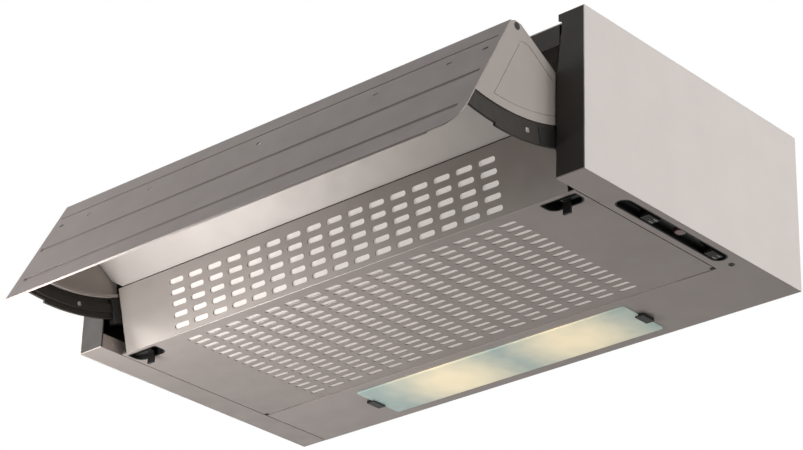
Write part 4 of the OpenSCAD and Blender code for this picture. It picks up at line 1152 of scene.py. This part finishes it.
@dataclass
class Grille(Assembly):
    """The hinged grille: perforated panel and front, slot rims, fold, grease mat, wires and latches."""

    columns: int = 16
    pitch_x: float = 24.8
    rows: int = 17
    pitch_y: float = 10.1
    first_y: float = 40.0
    front_rows: int = 5
    pitch_z: float = 10.5
    first_z: float = 7.5
    fold_y: float = 25.0
    lean: float = 15.0
    slot_l: float = 18.6
    slot_w: float = 5.2
    burr: float = 0.18
    burr_in: float = 0.05
    mat_y: float = 27.0
    mat_z: float = 2.0
    mat_skin: float = 0.2
    swell: float = 0.85
    # how much more it swells against the slanted front than against the panel
    front_swell: float = 1.4
    roll: float = 0.75
    roll_in: Span = (0.5, 0.45)
    roll_short: float = 2.0
    body: Body = Body.GRILLE
    looks: Looks = (
        Look(COAT, 0.15, "grille_panel"),
        Look(FRONT_COAT, 0.2, "grille_front"),
        Look(BRIGHT, 0, "filter_wires"),
        Look(BLACK, 0.3, "latch_housings"),
        Look(BRIGHT, 0.1, "grille_hinge_pins"),
        Look(BLACK, 0.3, "right_latch", body=Body.RIGHT_LATCH),
        Look(BLACK, 0.3, "left_latch", body=Body.LEFT_LATCH),
    )

    def build(self) -> None:
        """Dresses the parts and adds what the slots and the mat need."""
        super().build()
        self.mat()
        self.rims()
        self.rolled_fold()

    def mat(self) -> None:
        """Lets the soft mat swell against the sheets, so that it shows white right behind the slots."""
        slope = math.tan(math.radians(self.lean))
        for vert in dressed("filter_mat", Body.GRILLE, FELT, 0).data.vertices:
            y, z = vert.co.y / MM + DEPTH, vert.co.z / MM
            if y < self.mat_y + self.mat_skin - (z - self.mat_z) * slope:
                vert.co.y -= self.front_swell * self.swell * MM
            if z < self.mat_z + self.mat_skin:
                vert.co.z -= self.swell * MM

    def rolled_fold(self) -> None:
        """Adds the rounded fold where the sheet turns up from the underside to the slanted front."""
        low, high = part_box("grille_front")
        mesh = bmesh.new()
        turn = Matrix.Rotation(math.radians(90), 4, "Y")
        y, z = self.fold_y + self.roll_in[0] - DEPTH, self.roll_in[1]
        middle = ((low[0] + high[0]) / 2, y * MM, z * MM)
        radius, length = self.roll * MM, high[0] - low[0] - self.roll_short * MM
        bmesh.ops.create_cone(mesh, cap_ends=True, segments=24, radius1=radius, radius2=radius,
                              depth=length, matrix=Matrix.Translation(middle) @ turn)
        finish_piece(new_piece("grille_fold", mesh), Body.GRILLE, FRONT_COAT)

    def rims(self) -> None:
        """Adds the rolled burr that the punch leaves round every slot."""
        across = [(i - (self.columns - 1) / 2) * self.pitch_x for i in range(self.columns)]
        back = [self.first_y + j * self.pitch_y for j in range(self.rows)]
        flat = [front(x, y, self.burr_in) for x in across for y in back]
        a = math.radians(self.lean)
        rise = [self.first_z + j * self.pitch_z for j in range(self.front_rows)]
        slanted = [front(x, self.fold_y - s * math.sin(a), s * math.cos(a)) for x in across for s in rise]
        self.burrs("underside_slot_rims", flat, 0.0)
        self.burrs("front_slot_rims", slanted, math.radians(90) + a)

    def burrs(self, name: str, points: Sequence[Vector], tilt: float) -> None:
        """Adds one burr on every point.

        Args:
            name: Name of the piece.
            points: Middles of the slots.
            tilt: Turn of each burr about X, in radians.
        """
        tree = Tree(name, {"Length": self.slot_l * MM, "Width": self.slot_w * MM, "Burr": self.burr * MM,
                           "Tilt": tilt})
        sides = {0: tree.size("Length"), 1: tree.size("Width")}
        plate = tree.node("GeometryNodeCurvePrimitiveQuadrilateral", sides)
        # a little less than half of the width, so that the ends stay round
        half = tree.node("ShaderNodeMath", {0: tree.size("Width"), 1: 0.499}, operation="MULTIPLY")
        rounding = {"Curve": plate, "Count": 4, "Radius": half, "Limit Radius": True}
        oval = tree.node("GeometryNodeFilletCurve", rounding, mode="POLY")
        tree.scatter(tree.ring(oval, 4, "Burr"), COAT)
        finish_piece(tree.run(name, points), Body.GRILLE, COAT)


@dataclass
class LampBay(Assembly):
    """The lamp behind the grille: tray, frosted pane, clips, holders and two tubular bulbs."""

    looks: Looks = (
        Look(PALE_COAT, 0.2, "lamp_tray"),
        Look(GLASS, 0.6, "lamp_glass", 3),
        Look(BLACK, 0.4, "glass_clips", 3),
        Look(WHITE, 0.4, "lamp_holders"),
        Look(BULB, 0, "lamp_bulbs"),
    )


@dataclass
class ControlStrip(Assembly):
    """The control recess in the right strip: tray, switch box, pilot lens and two slider knobs."""

    x: float = 284.0
    speed_y: float = 104.0
    light_y: float = 192.0
    knob_low: float = -0.8
    # the pale bars at each knob's end stand for its glints: painted highlights
    mark_x: float = 2.4
    mark_half: float = 0.35
    mark_y: Span = (1.6, 6.4)
    mark_z: Span = (-0.12, 0.05)
    mark_edge: float = 0.05
    looks: Looks = (
        Look(BLACK, 0.25, "control_tray"),
        Look(DARK, 0.3, "control_box"),
        Look(RED, 0.8, "pilot_lens", 4),
        Look(BLACK, 0.35, "light_slider", 3, Body.LIGHT),
        Look(BLACK, 0.35, "speed_slider", 3, Body.SPEED),
    )

    def build(self) -> None:
        """Dresses the parts, and adds the pale bars that stand for glints on the knobs: painted highlights.
        """
        super().build()
        self.glints("light", self.light_y, Body.LIGHT)
        self.glints("speed", self.speed_y, Body.SPEED)

    def glints(self, name: str, y: float, body: Body) -> None:
        """Adds the pale bars on a knob's face, which stand for its glints: painted highlights.

        Args:
            name: Name of the knob.
            y: Its middle behind the front plane.
            body: Body that it rides on.
        """
        mesh = bmesh.new()
        for side in (-1, 1):
            x = self.x + side * self.mark_x
            low, high = ((y + self.mark_y[i], self.knob_low + self.mark_z[i]) for i in (0, 1))
            box(mesh, (x - self.mark_half, *low), (x + self.mark_half, *high))
        piece = new_piece(f"{name}_knob_glints", mesh)
        soften(piece, self.mark_edge, 1)
        finish_piece(piece, body, GLINT_MARK)


@dataclass
class Blower(Assembly):
    """The blower in the motor chamber: housing, forward curved wheel, motor and bracket."""

    looks: Looks = (
        Look(DARK, 0.3, "blower_housing"),
        Look(ALLOY, 0.3, "motor"),
        Look(ALLOY, 0.2, "motor_bracket"),
        Look(BRIGHT, 0.1, "motor_shaft", body=Body.ROTOR),
        Look(DARK, 0, "blower_wheel", body=Body.ROTOR),
    )


@dataclass
class Outlet(Assembly):
    """The duct collar on the top panel with its two check flaps."""

    looks: Looks = (
        Look(BLACK, 0.4, "outlet_collar", 3),
        Look(DARK, 0.2, "front_flap", body=Body.FRONT_FLAP),
        Look(DARK, 0.2, "rear_flap", body=Body.REAR_FLAP),
        Look(BRIGHT, 0.1, "flap_pin"),
    )


@dataclass
class Electrics(Assembly):
    """Electrical parts in the motor chamber and the guide shoes of the rails."""

    looks: Looks = (
        Look(BLACK, 0.3, "cable_gland"),
        Look(WHITE, 0.5, "terminal_box"),
        Look(WHITE, 0.4, "capacitor"),
        Look(BLACK, 0.2, "microswitch"),
        Look(RED, 0.2, "switch_plunger", body=Body.PLUNGER),
        Look(BLACK, 0.35, "right_guide_shoe left_guide_shoe"),
    )


@dataclass
class Fasteners(Assembly):
    """Cross recessed pan head screws of the top panel, collar and control strip."""

    looks: Looks = (
        Look(SCREW, 0.15, "top_screws collar_screws"),
        Look(BLACK_SCREW, 0.15, "strip_screws"),
    )


def main() -> None:
    """Builds the scene in order and reports every piece."""
    logging.basicConfig(level=logging.INFO, format="%(message)s")
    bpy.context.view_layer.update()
    groups = (Studio, SheetBody, Visor, Grille, LampBay, ControlStrip, Blower, Outlet, Electrics, Fasteners)
    for group in groups:
        group().build()


if __name__ == "__main__":
    main()
